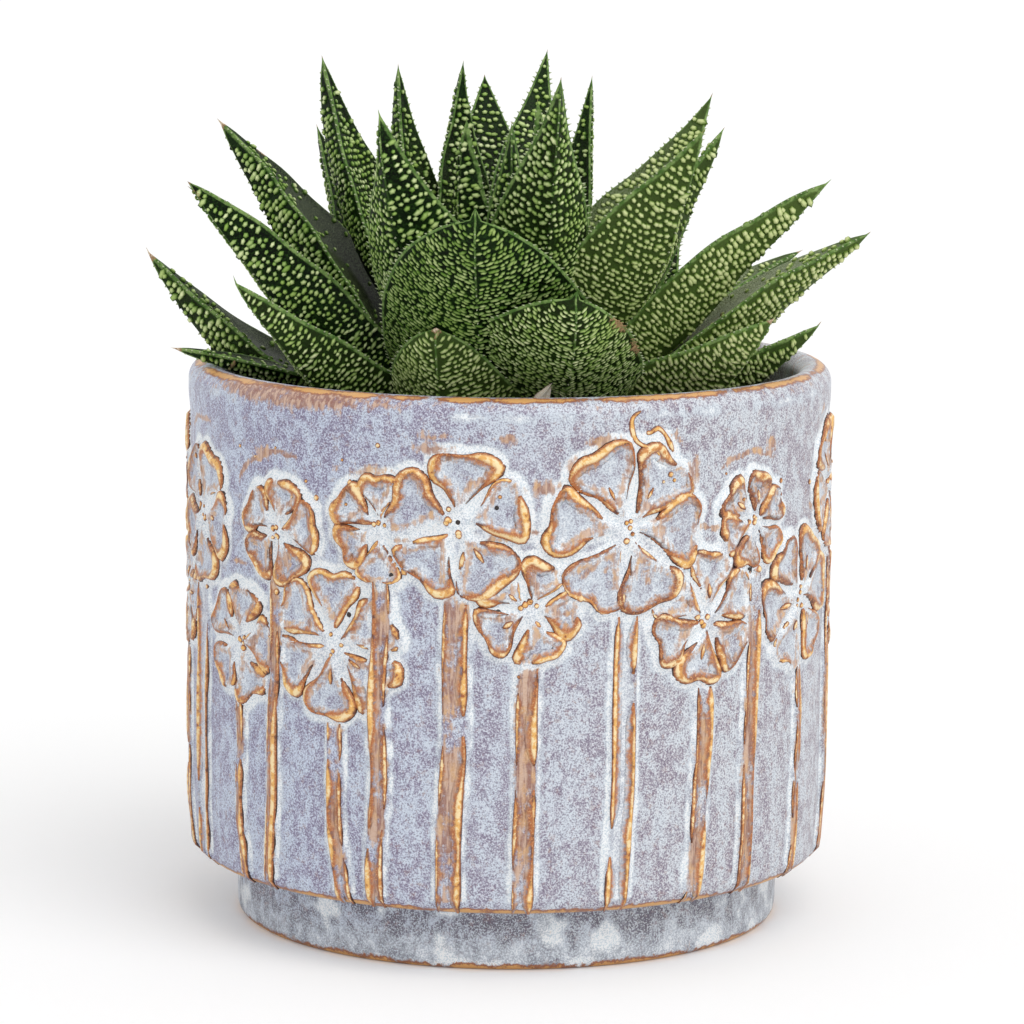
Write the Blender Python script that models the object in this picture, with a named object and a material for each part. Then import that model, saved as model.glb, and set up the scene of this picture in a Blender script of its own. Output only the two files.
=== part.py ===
"""Potted gasteria: a rosette of keeled, pointed leaves in a round glazed stoneware pot.

The origin is the centre of the pot's underside. +Z is up, and -Y is the plant's best side.
Bearings turn about the pot's axis: 0 points to -Y, 90 to +X, 180 to +Y and 270 to -X.
"""

import collections
import math

import bmesh
import bpy
from mathutils import Vector

MM = 0.001  # every length below is written in millimetres, and every mesh is in metres

# Pot
POT_RADIUS = 70.0
POT_HEIGHT = 121.0
WALL = 7.5
FOOT_RADIUS = 59.0
FOOT_HEIGHT = 14.0
FOOT_CORNER = 2.0
FOOT_COVE = 1.0  # the small fillet where the foot meets the body's underside
HEEL_INSET = 0.7  # the body's lower edge is this much narrower than its middle
HEEL_CORNER = 3.2
HEEL_TOP = 28.0
LIP_INSET = 0.6  # the rim's outer edge stands this far inside the body's radius
LIP_FALL = 16.0
FLOOR_LEVEL = 10.0
FLOOR_CURVE = ((50.0, 10.5), (56.0, 12.5), (61.0, 18.0))  # radius and height, up to the wall
INNER_WALL_FOOT = 26.0
INNER_LIP_FALL = 11.0
POT_SEGMENTS = 64

# Soil and stem
SOIL_EDGE_LEVEL = 103.0
SOIL_SURFACE = ((56.0, 103.4), (46.0, 102.0), (34.0, 100.0), (22.0, 98.2))  # radius and height
STEM_OUTLINE = ((0, 84), (5, 84.5), (9, 90), (12, 97), (13, 101), (13, 106), (10, 111),
                (7, 115), (5.4, 118), (4.4, 121), (3.4, 124), (2.4, 127), (1.8, 129), (0, 130))
STEM_BURIED = 4  # how many of the stem's points lie in the soil
SOIL_SEGMENTS = 48
STEM_SEGMENTS = 20

GAP = 0.3  # clearance between pieces that touch on the real plant

# Leaves
STATIONS = 9
HALF_WIDTH_STEPS = 2
CHANNEL = 0.14  # depth of the channel in the upper face, as a share of half the width
KEEL_ROUND_BASE = 2.2
KEEL_ROUND_TIP = 1.2

# Shapes along a leaf, from its base (0) to its tip (1), as shares of the largest value.
WIDTH_ALONG = ((0, 0.78), (0.10, 0.90), (0.20, 0.98), (0.30, 1.0), (0.50, 0.88),
               (0.70, 0.57), (0.85, 0.28), (0.94, 0.10), (1, 0))
THICKNESS_ALONG = ((0, 0.70), (0.12, 0.78), (0.25, 0.90), (0.40, 1.0), (0.60, 0.88),
                   (0.80, 0.56), (0.93, 0.24), (1, 0))

# bearing and height place the base, root is its distance from the axis, rise is the slope at
# the base in degrees and curl is what the slope gains by the tip. roll turns the leaf about
# its own spine, keel shifts the ridge under it sideways (-1 to 1), and full above 1 fills out
# the outline towards the tip. Where two leaves press together, the one listed first keeps its
# shape and the other is trimmed to it.
Leaf = collections.namedtuple(
    "Leaf", "name bearing height root rise curl length width thick roll keel full")
ROSETTE = (
    # front, seen on their outer faces
    (343, 102, 12, 26, 24, 51, 33, 6.5, -5, 0, 1.6),
    (11, 109, 10, 32, -6, 67, 43, 7.5, -8, 0.2, 1.4),
    (354, 111, 12, 42, -5, 73, 47, 8.0, -5, 0, 1.2),
    (305, 103, 15, 34, 2, 67, 27, 7.0, 10, 0.2, 1.1),
    (56, 105, 10, 25, 5, 63, 31, 7.0, -12, 0.3, 1.2),
    (327, 118, 9, 45, 20, 72, 32, 8.0, 2, 0.1, 1.0),
    (54, 120, 6, 53, -5, 68, 30, 8.5, -6, 0.3, 1.0),
    (13, 121, 6, 54, 9, 74, 23, 8.0, -4, 0, 1.0),
    # left
    (283, 103, 17, 55, -16, 78, 26, 8.0, 24, 0.3, 1.5),
    (266, 102, 9, 19, 23, 82, 27, 7.5, 0, 0.2, 1.0),
    (261, 110, 9, 46, -18, 78, 20, 5.0, -3, 0, 1.0),
    (257, 110, 17, 66, -29, 79, 31, 8.0, 2, 0.5, 1.0),
    (286, 105, 12, 29, -22, 66, 19, 3.6, 0, 0, 1.1),
    (250, 119, 9, 53, 18, 75, 23, 7.5, -5, 0, 1.0),
    # right
    (83, 110, 16, 63, -38, 74, 24, 7.5, -12, 0, 1.0),
    (83, 106, 17, 51, -30, 75, 26, 7.5, 6, 0.1, 1.2),
    (79, 104, 8, 19, 10, 65, 20, 6.0, -9, 0.1, 1.2),
    (117, 113, 8, 31, -14, 71, 18, 5.0, 5, 0, 1.1),
    # the young leaves at the heart
    (60, 129, 3, 84, 4, 48, 9, 4.0, 0, 0, 1.0),
    (0, 128, 3, 74, 6, 46, 12, 4.5, 0, 0, 1.0),
    (305, 128, 3, 76, 6, 46, 11, 4.5, 0, 0, 1.0),
    (240, 128, 3, 74, 6, 42, 11, 4.5, 0, 0, 1.0),
    (120, 128, 3, 74, 6, 43, 11, 4.5, 0, 0, 1.0),
    (182, 129, 3, 80, 4, 40, 9, 4.0, 0, 0, 1.0),
    # back, seen over the heart on their inner faces
    (168, 127, 6, 76, -28, 67, 17, 6.0, 12, 0, 1.0),
    (211, 123, 9, 62, 34, 63, 16, 5.5, 4, 0, 1.0),
    (234, 121, 7, 57, 24, 67, 16, 6.0, 0, 0, 1.0),
    (187, 118, 8, 50, 9, 75, 34, 7.0, 8, 0, 1.1),
    (153, 117, 7, 53, 20, 71, 13, 6.0, -6, 0, 1.0),
    (129, 120, 6, 40, 15, 76, 30, 6.5, 18, 0, 1.0),
    (101, 117, 10, 61, -11, 65, 23, 6.0, -9, 0, 1.0),
    (231, 109, 11, 43, 20, 75, 26, 6.5, 0, -0.1, 1.0),
    # back, middle and low
    (172, 112, 8, 42, 2, 74, 32, 7.5, 0, 0, 1.1),
    (143, 109, 8, 34, 4, 74, 32, 7.5, 0, 0, 1.1),
    (206, 110, 8, 34, 4, 74, 32, 7.5, 0, 0, 1.1),
    (160, 104, 8, 21, 6, 68, 31, 6.5, 0, 0, 1.1),
    (187, 104, 8, 22, 6, 67, 30, 6.5, 0, 0, 1.1),
    (239, 105, 8, 20, 4, 60, 29, 6.5, 0, 0, 1.0),
    (132, 103, 8, 20, 4, 61, 30, 6.5, 0, 0, 1.0),
    (213, 103, 8, 19, 4, 64, 29, 6.5, 0, 0, 1.0),
)
LEAVES = [Leaf(f"leaf_{number:02d}", *row) for number, row in enumerate(ROSETTE, 1)]
# one old leaf, dried up, that stands between the front leaves and the rim
LEAVES.append(Leaf("withered_leaf", 8, 104, 31, 8, 72, 27, 5, 1.0, 0, 0, 1.0))

# Colours, with roughness
GLAZE = ((0.42, 0.47, 0.58), 0.18)
LOAM = ((0.045, 0.032, 0.024), 0.95)
STEM_GREEN = ((0.20, 0.24, 0.08), 0.60)
LEAF_GREEN = ((0.045, 0.13, 0.035), 0.42)
STRAW = ((0.50, 0.38, 0.22), 0.85)


def clear_scene():
    for item in list(bpy.data.objects):
        bpy.data.objects.remove(item, do_unlink=True)


def material(name, finish):
    colour, roughness = finish
    made = bpy.data.materials.new(name)
    made.use_nodes = True
    shader = made.node_tree.nodes["Principled BSDF"]
    shader.inputs["Base Color"].default_value = (*colour, 1.0)
    shader.inputs["Roughness"].default_value = roughness
    shader.inputs["Metallic"].default_value = 0.0
    return made


def add_object(name, points, faces, finish):
    """A new object from points in millimetres, with its normals out and its own material."""
    mesh = bpy.data.meshes.new(name)
    mesh.from_pydata([Vector(point) * MM for point in points], [], faces)
    shape = bmesh.new()
    shape.from_mesh(mesh)
    bmesh.ops.recalc_face_normals(shape, faces=shape.faces)
    shape.to_mesh(mesh)
    shape.free()
    mesh.shade_smooth()
    mesh.set_sharp_from_angle(angle=math.radians(40))
    made = bpy.data.objects.new(name, mesh)
    made.data.materials.append(material(name, finish))
    bpy.context.scene.collection.objects.link(made)
    return made


def arc(centre, radius, start, end, steps):
    """Points of an arc in the (radius, height) plane, with its angles in degrees."""
    points = []
    for step in range(steps + 1):
        angle = math.radians(start + (end - start) * step / steps)
        points.append((centre[0] + radius * math.cos(angle), centre[1] + radius * math.sin(angle)))
    return points


def turned(name, profile, segments, finish):
    """A solid turned about the axis. Its profile starts and ends on the axis."""
    middle = profile[1:-1]
    points = [(0, 0, profile[0][1]), (0, 0, profile[-1][1])]
    for segment in range(segments):
        angle = 2 * math.pi * segment / segments
        points += [(r * math.cos(angle), r * math.sin(angle), z) for r, z in middle]
    faces = []
    for segment in range(segments):
        here = 2 + segment * len(middle)
        there = 2 + (segment + 1) % segments * len(middle)
        faces.append((0, here, there))
        faces.append((1, there + len(middle) - 1, here + len(middle) - 1))
        for step in range(len(middle) - 1):
            faces.append((here + step, here + step + 1, there + step + 1, there + step))
    return add_object(name, points, faces, finish)


def make_pot():
    """A straight-sided pot with a rounded rim, on a narrower foot."""
    lip = WALL / 2
    inner = POT_RADIUS - WALL
    heel = POT_RADIUS - HEEL_INSET - HEEL_CORNER
    outer = [(0, 0)]
    outer += arc((FOOT_RADIUS - FOOT_CORNER, FOOT_CORNER), FOOT_CORNER, -90, 0, 3)
    outer += [(FOOT_RADIUS, FOOT_HEIGHT - FOOT_COVE), (FOOT_RADIUS + FOOT_COVE, FOOT_HEIGHT)]
    outer += arc((heel, FOOT_HEIGHT + HEEL_CORNER), HEEL_CORNER, -90, 0, 4)
    outer += [(POT_RADIUS, HEEL_TOP), (POT_RADIUS, POT_HEIGHT - LIP_FALL)]
    rim = arc((POT_RADIUS - LIP_INSET - lip, POT_HEIGHT - lip), lip, 0, 180, 8)
    inside = [(inner, POT_HEIGHT - INNER_LIP_FALL), (inner, INNER_WALL_FOOT)]
    floor = [*reversed(FLOOR_CURVE), (0, FLOOR_LEVEL)]
    return turned("pot", outer + rim + inside + floor, POT_SEGMENTS, GLAZE)


def stem_outline(swell=0.0):
    """The stem from its lower end to its top, narrowing where the younger leaves spring."""
    bottom, top = STEM_OUTLINE[0], STEM_OUTLINE[-1]
    return [(0, bottom[1] - swell), *[(r + swell, z) for r, z in STEM_OUTLINE[1:-1]],
            (0, top[1] + swell)]


def make_soil():
    """The soil fills the pot and dips to the stem, whose lower end it holds in a socket."""
    inner = POT_RADIUS - WALL - GAP
    sides = [(0, FLOOR_LEVEL + GAP)]
    sides += [(r - GAP, z + GAP) for r, z in FLOOR_CURVE]
    sides += [(inner, INNER_WALL_FOOT), (inner, SOIL_EDGE_LEVEL)]
    socket = stem_outline(GAP)[:STEM_BURIED]
    profile = sides + list(SOIL_SURFACE) + socket[::-1]
    return turned("soil", profile, SOIL_SEGMENTS, LOAM)


def along(table, t):
    """The value at t of a smooth curve through the table's points, with no overshoot."""
    slopes = [(b[1] - a[1]) / (b[0] - a[0]) for a, b in zip(table, table[1:])]
    turns = [slopes[0]]
    for before, after in zip(slopes, slopes[1:]):
        turns.append(2 * before * after / (before + after) if before * after > 0 else 0)
    turns.append(slopes[-1])
    i = max(k for k in range(len(table) - 1) if table[k][0] <= t)
    span = table[i + 1][0] - table[i][0]
    u = (t - table[i][0]) / span
    return (table[i][1] * (1 + 2 * u) * (1 - u) ** 2 + turns[i] * span * u * (1 - u) ** 2
            + table[i + 1][1] * u * u * (3 - 2 * u) + turns[i + 1] * span * u * u * (u - 1))


def leaf_frame(leaf, t):
    """The spine's point at t, with unit vectors along the leaf, across it and out of its upper face."""
    bearing = math.radians(leaf.bearing)
    ahead = Vector((math.sin(bearing), -math.cos(bearing), 0))
    rise = math.radians(leaf.rise)
    slope = math.radians(leaf.rise + leaf.curl * t)
    bend = math.radians(leaf.curl)
    if abs(bend) < 1e-6:
        run = leaf.length * t * math.cos(rise)
        climb = leaf.length * t * math.sin(rise)
    else:
        run = leaf.length / bend * (math.sin(slope) - math.sin(rise))
        climb = leaf.length / bend * (math.cos(rise) - math.cos(slope))
    point = ahead * (leaf.root + run) + Vector((0, 0, leaf.height + climb))
    forward = ahead * math.cos(slope) + Vector((0, 0, math.sin(slope)))
    across = Vector((math.cos(bearing), math.sin(bearing), 0))
    up = forward.cross(across)
    roll = math.radians(leaf.roll)
    return (point, forward, across * math.cos(roll) + up * math.sin(roll),
            up * math.cos(roll) - across * math.sin(roll))


def leaf_section(leaf, t, swell):
    """Offsets (across, out of the upper face) round a leaf at t: a channel above, a keel below."""
    half = along(WIDTH_ALONG, t) ** (1 / leaf.full) * leaf.width / 2
    dip = CHANNEL * half * min(1, t / 0.2)
    depth = dip + along(THICKNESS_ALONG, t) * leaf.thick
    half += 3 * swell
    power = KEEL_ROUND_BASE + (KEEL_ROUND_TIP - KEEL_ROUND_BASE) * t
    steps = [k / HALF_WIDTH_STEPS for k in range(-HALF_WIDTH_STEPS, HALF_WIDTH_STEPS + 1)]
    upper = [(s * half, dip * (s * s - 1) + swell) for s in steps]
    lower = []
    for s in reversed(steps[1:-1]):
        side = leaf.keel + s * (1 - leaf.keel if s > 0 else 1 + leaf.keel)
        lower.append((side * half, -depth * (1 - abs(s) ** power) - swell))
    return upper + lower


def leaf_shape(leaf, swell=0.0):
    """Points and faces of a leaf. swell makes it bigger all round, most of all at its edges."""
    points = []
    for station in range(STATIONS):
        t = 1 - (1 - station / STATIONS) ** 1.15
        point, forward, across, up = leaf_frame(leaf, t)
        if station == 0:
            point = point - forward * swell
        points += [point + across * a + up * b for a, b in leaf_section(leaf, t, swell)]
    tip, forward, _, _ = leaf_frame(leaf, 1)
    points.append(tip + forward * 3 * swell)
    around = 4 * HALF_WIDTH_STEPS
    faces = [tuple(range(around))]
    for station in range(STATIONS - 1):
        low = station * around
        for k in range(around):
            after = (k + 1) % around
            faces.append((low + k, low + after, low + around + after))
            faces.append((low + k, low + around + after, low + around + k))
    last = (STATIONS - 1) * around
    faces += [(last + k, last + (k + 1) % around, len(points) - 1) for k in range(around)]
    return points, faces


def boxes_meet(one, other):
    low_a, high_a = one
    low_b, high_b = other
    return all(low_a[k] < high_b[k] and low_b[k] < high_a[k] for k in range(3))


def box_of(points):
    return [min(p[k] for p in points) for k in range(3)], [max(p[k] for p in points) for k in range(3)]


def keep_longest_body(mesh):
    """Drops the scraps that a trim can leave beside the leaf."""
    shape = bmesh.new()
    shape.from_mesh(mesh)
    left = set(shape.verts)
    bodies = []
    while left:
        body = set()
        edge = [left.pop()]
        while edge:
            vert = edge.pop()
            body.add(vert)
            found = {link.other_vert(vert) for link in vert.link_edges} & left
            left -= found
            edge += found
        low, high = box_of([vert.co for vert in body])
        bodies.append((math.dist(low, high), body))
    longest = max(length for length, body in bodies)
    for length, body in bodies:
        if length < longest:
            bmesh.ops.delete(shape, geom=list(body), context="VERTS")
    shape.to_mesh(mesh)
    shape.free()


def make_leaves():
    """Each leaf, trimmed to stay a gap clear of the stem and of the leaves listed before it."""
    stem = stem_outline(GAP)
    radius = max(r for r, z in stem)
    cutter = turned("stem_room", stem, STEM_SEGMENTS, STEM_GREEN)
    placed = [(cutter, ([-radius, -radius, stem[0][1]], [radius, radius, stem[-1][1]]))]
    for leaf in LEAVES:
        points, faces = leaf_shape(leaf)
        made = add_object(leaf.name, points, faces, STRAW if leaf.thick < 2 else LEAF_GREEN)
        box = box_of(points)
        for cutter, cutter_box in placed:
            if boxes_meet(box, cutter_box):
                trim = made.modifiers.new("trim_to_" + cutter.name, "BOOLEAN")
                trim.operation = "DIFFERENCE"
                trim.object = cutter
        apply_modifiers(made)
        points, faces = leaf_shape(leaf, GAP)
        placed.append((add_object(leaf.name + "_room", points, faces, LEAF_GREEN), box_of(points)))
    for cutter, _ in placed:
        bpy.data.objects.remove(cutter, do_unlink=True)


def apply_modifiers(made):
    bpy.context.view_layer.update()
    graph = bpy.context.evaluated_depsgraph_get()
    mesh = bpy.data.meshes.new_from_object(made.evaluated_get(graph))
    made.modifiers.clear()
    made.data = mesh
    keep_longest_body(mesh)


def main():
    clear_scene()
    make_pot()
    make_soil()
    turned("stem", stem_outline(), STEM_SEGMENTS, STEM_GREEN)
    make_leaves()


main()
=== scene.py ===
"""The looks of the potted gasteria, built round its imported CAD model.

Lengths are written in millimetres and turned into metres when a mesh is made. Bearings turn
about the pot's axis: 0 points to -Y, 90 to +X, 180 to +Y and 270 to -X. Colours are written
as 0 to 255 in sRGB.
"""

import collections
import math

import bpy
import numpy as np
from mathutils import Matrix, Vector
from mathutils.bvhtree import BVHTree


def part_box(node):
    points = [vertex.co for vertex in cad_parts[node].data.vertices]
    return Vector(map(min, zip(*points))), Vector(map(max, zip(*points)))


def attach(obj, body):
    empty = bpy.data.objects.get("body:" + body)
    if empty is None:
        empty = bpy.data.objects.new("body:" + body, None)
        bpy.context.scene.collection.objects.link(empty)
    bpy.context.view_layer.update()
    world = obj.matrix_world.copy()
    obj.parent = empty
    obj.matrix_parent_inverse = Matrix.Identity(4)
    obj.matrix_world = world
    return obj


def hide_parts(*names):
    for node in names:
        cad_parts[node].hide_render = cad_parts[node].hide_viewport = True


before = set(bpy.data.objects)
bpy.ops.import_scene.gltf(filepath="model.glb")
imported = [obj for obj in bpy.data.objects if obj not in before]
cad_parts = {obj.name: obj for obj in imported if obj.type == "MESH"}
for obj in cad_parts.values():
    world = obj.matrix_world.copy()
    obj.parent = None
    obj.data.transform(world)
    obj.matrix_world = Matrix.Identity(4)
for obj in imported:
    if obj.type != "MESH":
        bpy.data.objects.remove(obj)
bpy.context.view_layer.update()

MM = 0.001
SEED = 20


def extent(node):
    """Lowest and highest corners of a CAD node, in millimetres."""
    low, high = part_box(node)
    return np.array(low) / MM, np.array(high) / MM


# ---------------------------------------------------------------- sizes taken from the frame
POT_LOW, POT_HIGH = extent("pot")
POT_RADIUS = (POT_HIGH[1] - POT_LOW[1]) / 2
POT_HEIGHT = POT_HIGH[2]
SOIL_LOW, SOIL_HIGH = extent("soil")
SOIL_RADIUS = (SOIL_HIGH[0] - SOIL_LOW[0]) / 2

# ---------------------------------------------------------------- the rosette
# The same leaves as in the CAD source, which says what each column means. leaf_01 comes first, and
# the tables below give a leaf by its number.
Leaf = collections.namedtuple("Leaf", "bearing height root rise curl length width thick roll keel full")
ROSETTE = (
    (343, 102, 12, 26, 24, 51, 33, 6.5, -5, 0, 1.6),
    (11, 109, 10, 32, -6, 67, 43, 7.5, -8, 0.2, 1.4),
    (354, 111, 12, 42, -5, 73, 47, 8.0, -5, 0, 1.2),
    (305, 103, 15, 34, 2, 67, 27, 7.0, 10, 0.2, 1.1),
    (56, 105, 10, 25, 5, 63, 31, 7.0, -12, 0.3, 1.2),
    (327, 118, 9, 45, 20, 72, 32, 8.0, 2, 0.1, 1.0),
    (54, 120, 6, 53, -5, 68, 30, 8.5, -6, 0.3, 1.0),
    (13, 121, 6, 54, 9, 74, 23, 8.0, -4, 0, 1.0),
    (283, 103, 17, 55, -16, 78, 26, 8.0, 24, 0.3, 1.5),
    (266, 102, 9, 19, 23, 82, 27, 7.5, 0, 0.2, 1.0),
    (261, 110, 9, 46, -18, 78, 20, 5.0, -3, 0, 1.0),
    (257, 110, 17, 66, -29, 79, 31, 8.0, 2, 0.5, 1.0),
    (286, 105, 12, 29, -22, 66, 19, 3.6, 0, 0, 1.1),
    (250, 119, 9, 53, 18, 75, 23, 7.5, -5, 0, 1.0),
    (83, 110, 16, 63, -38, 74, 24, 7.5, -12, 0, 1.0),
    (83, 106, 17, 51, -30, 75, 26, 7.5, 6, 0.1, 1.2),
    (79, 104, 8, 19, 10, 65, 20, 6.0, -9, 0.1, 1.2),
    (117, 113, 8, 31, -14, 71, 18, 5.0, 5, 0, 1.1),
    (60, 129, 3, 84, 4, 48, 9, 4.0, 0, 0, 1.0),
    (0, 128, 3, 74, 6, 46, 12, 4.5, 0, 0, 1.0),
    (305, 128, 3, 76, 6, 46, 11, 4.5, 0, 0, 1.0),
    (240, 128, 3, 74, 6, 42, 11, 4.5, 0, 0, 1.0),
    (120, 128, 3, 74, 6, 43, 11, 4.5, 0, 0, 1.0),
    (182, 129, 3, 80, 4, 40, 9, 4.0, 0, 0, 1.0),
    (168, 127, 6, 76, -28, 67, 17, 6.0, 12, 0, 1.0),
    (211, 123, 9, 62, 34, 63, 16, 5.5, 4, 0, 1.0),
    (234, 121, 7, 57, 24, 67, 16, 6.0, 0, 0, 1.0),
    (187, 118, 8, 50, 9, 75, 34, 7.0, 8, 0, 1.1),
    (153, 117, 7, 53, 20, 71, 13, 6.0, -6, 0, 1.0),
    (129, 120, 6, 40, 15, 76, 30, 6.5, 18, 0, 1.0),
    (101, 117, 10, 61, -11, 65, 23, 6.0, -9, 0, 1.0),
    (231, 109, 11, 43, 20, 75, 26, 6.5, 0, -0.1, 1.0),
    (172, 112, 8, 42, 2, 74, 32, 7.5, 0, 0, 1.1),
    (143, 109, 8, 34, 4, 74, 32, 7.5, 0, 0, 1.1),
    (206, 110, 8, 34, 4, 74, 32, 7.5, 0, 0, 1.1),
    (160, 104, 8, 21, 6, 68, 31, 6.5, 0, 0, 1.1),
    (187, 104, 8, 22, 6, 67, 30, 6.5, 0, 0, 1.1),
    (239, 105, 8, 20, 4, 60, 29, 6.5, 0, 0, 1.0),
    (132, 103, 8, 20, 4, 61, 30, 6.5, 0, 0, 1.0),
    (213, 103, 8, 19, 4, 64, 29, 6.5, 0, 0, 1.0),
)
HUSK = Leaf(8, 104, 31, 8, 72, 27, 5, 1.0, 0, 0, 1.0)  # the withered leaf

CHANNEL = 0.14  # how far the upper face is hollowed, as a share of half the leaf's width
KEEL_ROUND_BASE, KEEL_ROUND_TIP = 2.2, 1.2  # the power that rounds the lower face
# Shares of a leaf's full width and thickness, from its base to its tip.
WIDTH_ALONG = ((0, 0.78), (0.10, 0.90), (0.20, 0.98), (0.30, 1.0), (0.50, 0.88),
               (0.70, 0.57), (0.85, 0.28), (0.94, 0.10), (1, 0))
THICKNESS_ALONG = ((0, 0.70), (0.12, 0.78), (0.25, 0.90), (0.40, 1.0), (0.60, 0.88),
                   (0.80, 0.56), (0.93, 0.24), (1, 0))
# The same for the broad front leaves, and how far each of them follows it.
DOMED_WIDTH = ((0, 0.78), (0.10, 0.90), (0.20, 0.98), (0.30, 1.0), (0.50, 0.97), (0.70, 0.82),
               (0.81, 0.67), (0.94, 0.33), (1, 0))
DOMED_LEAVES = {1: 0.8, 2: 0.55, 3: 0.9}
TIP_TAPER = 0.24  # how much narrower a slender leaf is near its tip
MARGIN = 0.28  # half the thickness of a leaf's horny edge
DENTS = 0.28  # how deep the dents in a leaf's faces are
WAVER = 0.30  # how far its margins rise and fall
CALM = 0.25  # the share of its length, next to the tip, over which both die away
KEEL_LINE = 0.4  # how far the fine ridge stands out along the keel
KEEL_LINE_WIDTH = 0.55
LEAF_STATIONS = 42
UPPER_COLUMNS = (0, 0.22, 0.44, 0.64, 0.82, 0.94, 1)  # shares of half the width
LOWER_COLUMNS = (0, 0.07, 0.18, 0.34, 0.50, 0.66, 0.80, 0.92, 1)

BEAD_SIDES = 5
BEAD_START, HEART_START = 5.0, 12.0  # how far from a leaf's base its rows of beads begin
# Each pair is for the fine beads near the base, and what the coarse ones near the tip add.
ROW_PITCH, COARSE_PITCH = 1.00, 0.40  # from one row to the next
BEAD_GAP, COARSE_GAP = 1.44, 0.10  # from bead to bead along a row
BEAD_WIDE, COARSE_WIDE = 0.50, 0.22  # half a bead's width, the short way
BEAD_TALL, COARSE_TALL = 0.36, 0.14
# How the beads of some leaves differ, as shares.
LOW_COARSENESS = 0.22
BACK_PITCH, FINE_PITCH = 1.15, 0.85
FINE_GAP, FINE_SIZE, FULL_SIZE = 0.90, 0.94, 1.14
JOINED = 0.30  # the share of beads that are half as long again, as if two had run together
BARE = 0.68  # how far from the margin the nearest beads stand
ACROSS = np.linspace(-1, 1, 33)  # places across a leaf, along which its rows of beads are measured
# The rows of teeth: 1 or -1 for a margin and 0 for the keel, where they start, and their spacing.
TOOTH_ROWS = ((1, 0.10, 1.55), (-1, 0.10, 1.55), (0, 0.38, 2.3))
TOOTH_END = 0.97
TOOTH = np.array(((0, 1, 4), (1, 2, 4), (2, 3, 4), (3, 0, 4), (0, 2, 1), (0, 3, 2)))
BEAD_SINK = 0.16  # how far a bead's rim lies under the skin
LOW_LEAVES = {1, 2, 3, 4, 5, 13, 17, 36, 37, 38, 39, 40}  # their beads stay small to the tip
BACK_LEAVES = {28, *range(32, 41)}  # fewer beads, because they face away
FINE_LEAVES = {1, 2, 3}  # small close-set beads, up to the keel
FULL_LEAVES = {5, 10, 12, 13, 15, 16, 17, 30}  # large beads that nearly touch
HEART_LEAVES = range(19, 25)  # their lower parts are hidden
GREY_LEAVES = {10, 11, 12, 13, 15, 16, 17, 18}  # their upper faces are nearly bare, and painted grey as a sheen
BEAD_SHOULDER = 0.62  # what the material reads half-way up a bead, where its top is 1
DEEP = 106.0  # beads below this level, inside the pot, are left out
SIGHT = 13.0  # a bead with leaves this near on every side is left out too
FOOT_SHADE = 0.55  # how strongly the leaves' feet are darkened inside the pot: painted shade
FOOT_SHADE_START, FOOT_SHADE_END = 2.0, 10.0  # how far below the rim the painted shade begins and ends
UPPER_SHEEN = 0.3  # how far the upper faces of the other leaves are painted grey as a sheen
DRY_TIP = {1: 1.0, 2: 0, 3: 0, 4: 0, 5: 1.2, 6: 0, 10: 2.0, 12: 1.8, 13: 1.6, 15: 0, 18: 1.2,
           36: 1.5, 39: 3.0}  # millimetres of dead tip
SHORT_DRY_TIP = 0.3
# Dried patches: the leaf, where along and across it, their reach both ways and how dry they are.
DRY_SPOTS = ((2, 0.84, 0.96, 0.07, 0.08, 0.8), (2, 0.68, 0.98, 0.08, 0.06, 0.7),
             (12, 0.86, -0.95, 0.02, 0.3, 0.9), (9, 0.97, 0.0, 0.02, 0.8, 0.5),
             (5, 0.30, -0.8, 0.04, 0.2, 0.6), (13, 0.80, 0.3, 0.012, 1.2, 0.6),
             (16, 0.45, 0.2, 0.2, 0.25, 0.42), (39, 0.7, 0.9, 0.12, 0.15, 0.7),
             (36, 0.8, -0.9, 0.08, 0.15, 0.6))
# How much a leaf is painted paler and yellower than the others as painted light, or darker as painted shade
# where it is below zero.
PAINTED_LIGHT_LEAVES = {1: 0.8, 2: 0.2, 3: -0.6, 4: 0.25, 5: 1.4, 7: 1.0, 8: 0.2, 10: 0.2, 15: 1.3, 16: 1.3,
                17: 0.9, 18: 0.8, 30: 1.0, 31: 0.8}
# The spike that a tip ends in: its length, and how steeply it turns up, in degrees.
SPIKE = {1: (0.8, 0), 2: (2.6, 28), 3: (3.2, 28), 4: (2.2, 48), 6: (1.6, 0), 10: (1.6, 30),
         15: (1.6, 25), 16: (1.4, 25), 17: (1.6, 35), 30: (1.6, 20)}
SHORT_SPIKE = (1.2, 6)
SPIKE_ROOT = 0.6  # how much of a spike lies within the leaf's own length


def along(table, t):
    """The value at t of a smooth curve through the table's points, with no overshoot."""
    xs, ys = np.array(table, float).T
    slopes = np.diff(ys) / np.diff(xs)
    product = slopes[:-1] * slopes[1:]
    total = np.where(product > 0, slopes[:-1] + slopes[1:], 1)
    turns = np.concatenate([slopes[:1], np.where(product > 0, 2 * product / total, 0), slopes[-1:]])
    i = np.clip(np.searchsorted(xs, t, side="right") - 1, 0, len(xs) - 2)
    span = xs[i + 1] - xs[i]
    u = (t - xs[i]) / span
    return (ys[i] * (1 + 2 * u) * (1 - u) ** 2 + turns[i] * span * u * (1 - u) ** 2
            + ys[i + 1] * u * u * (3 - 2 * u) + turns[i + 1] * span * u * u * (u - 1))


def step_between(low, high, x):
    """0 at low, 1 at high, with a smooth rise in between."""
    u = np.clip((x - low) / (high - low), 0, 1)
    return u * u * (3 - 2 * u)


def bell(x, width):
    """1 where x is 0, falling away smoothly on both sides."""
    return np.exp(-(x / width) ** 2)


def from_ends(count):
    """How many steps each place along a line lies from the line's nearer end."""
    steps = np.arange(count)
    return np.minimum(steps, steps[::-1])


def lengths_along(line):
    """How far along a line each of its points lies."""
    return np.append(0, np.cumsum(np.linalg.norm(np.diff(line, axis=0), axis=1)))


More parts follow.
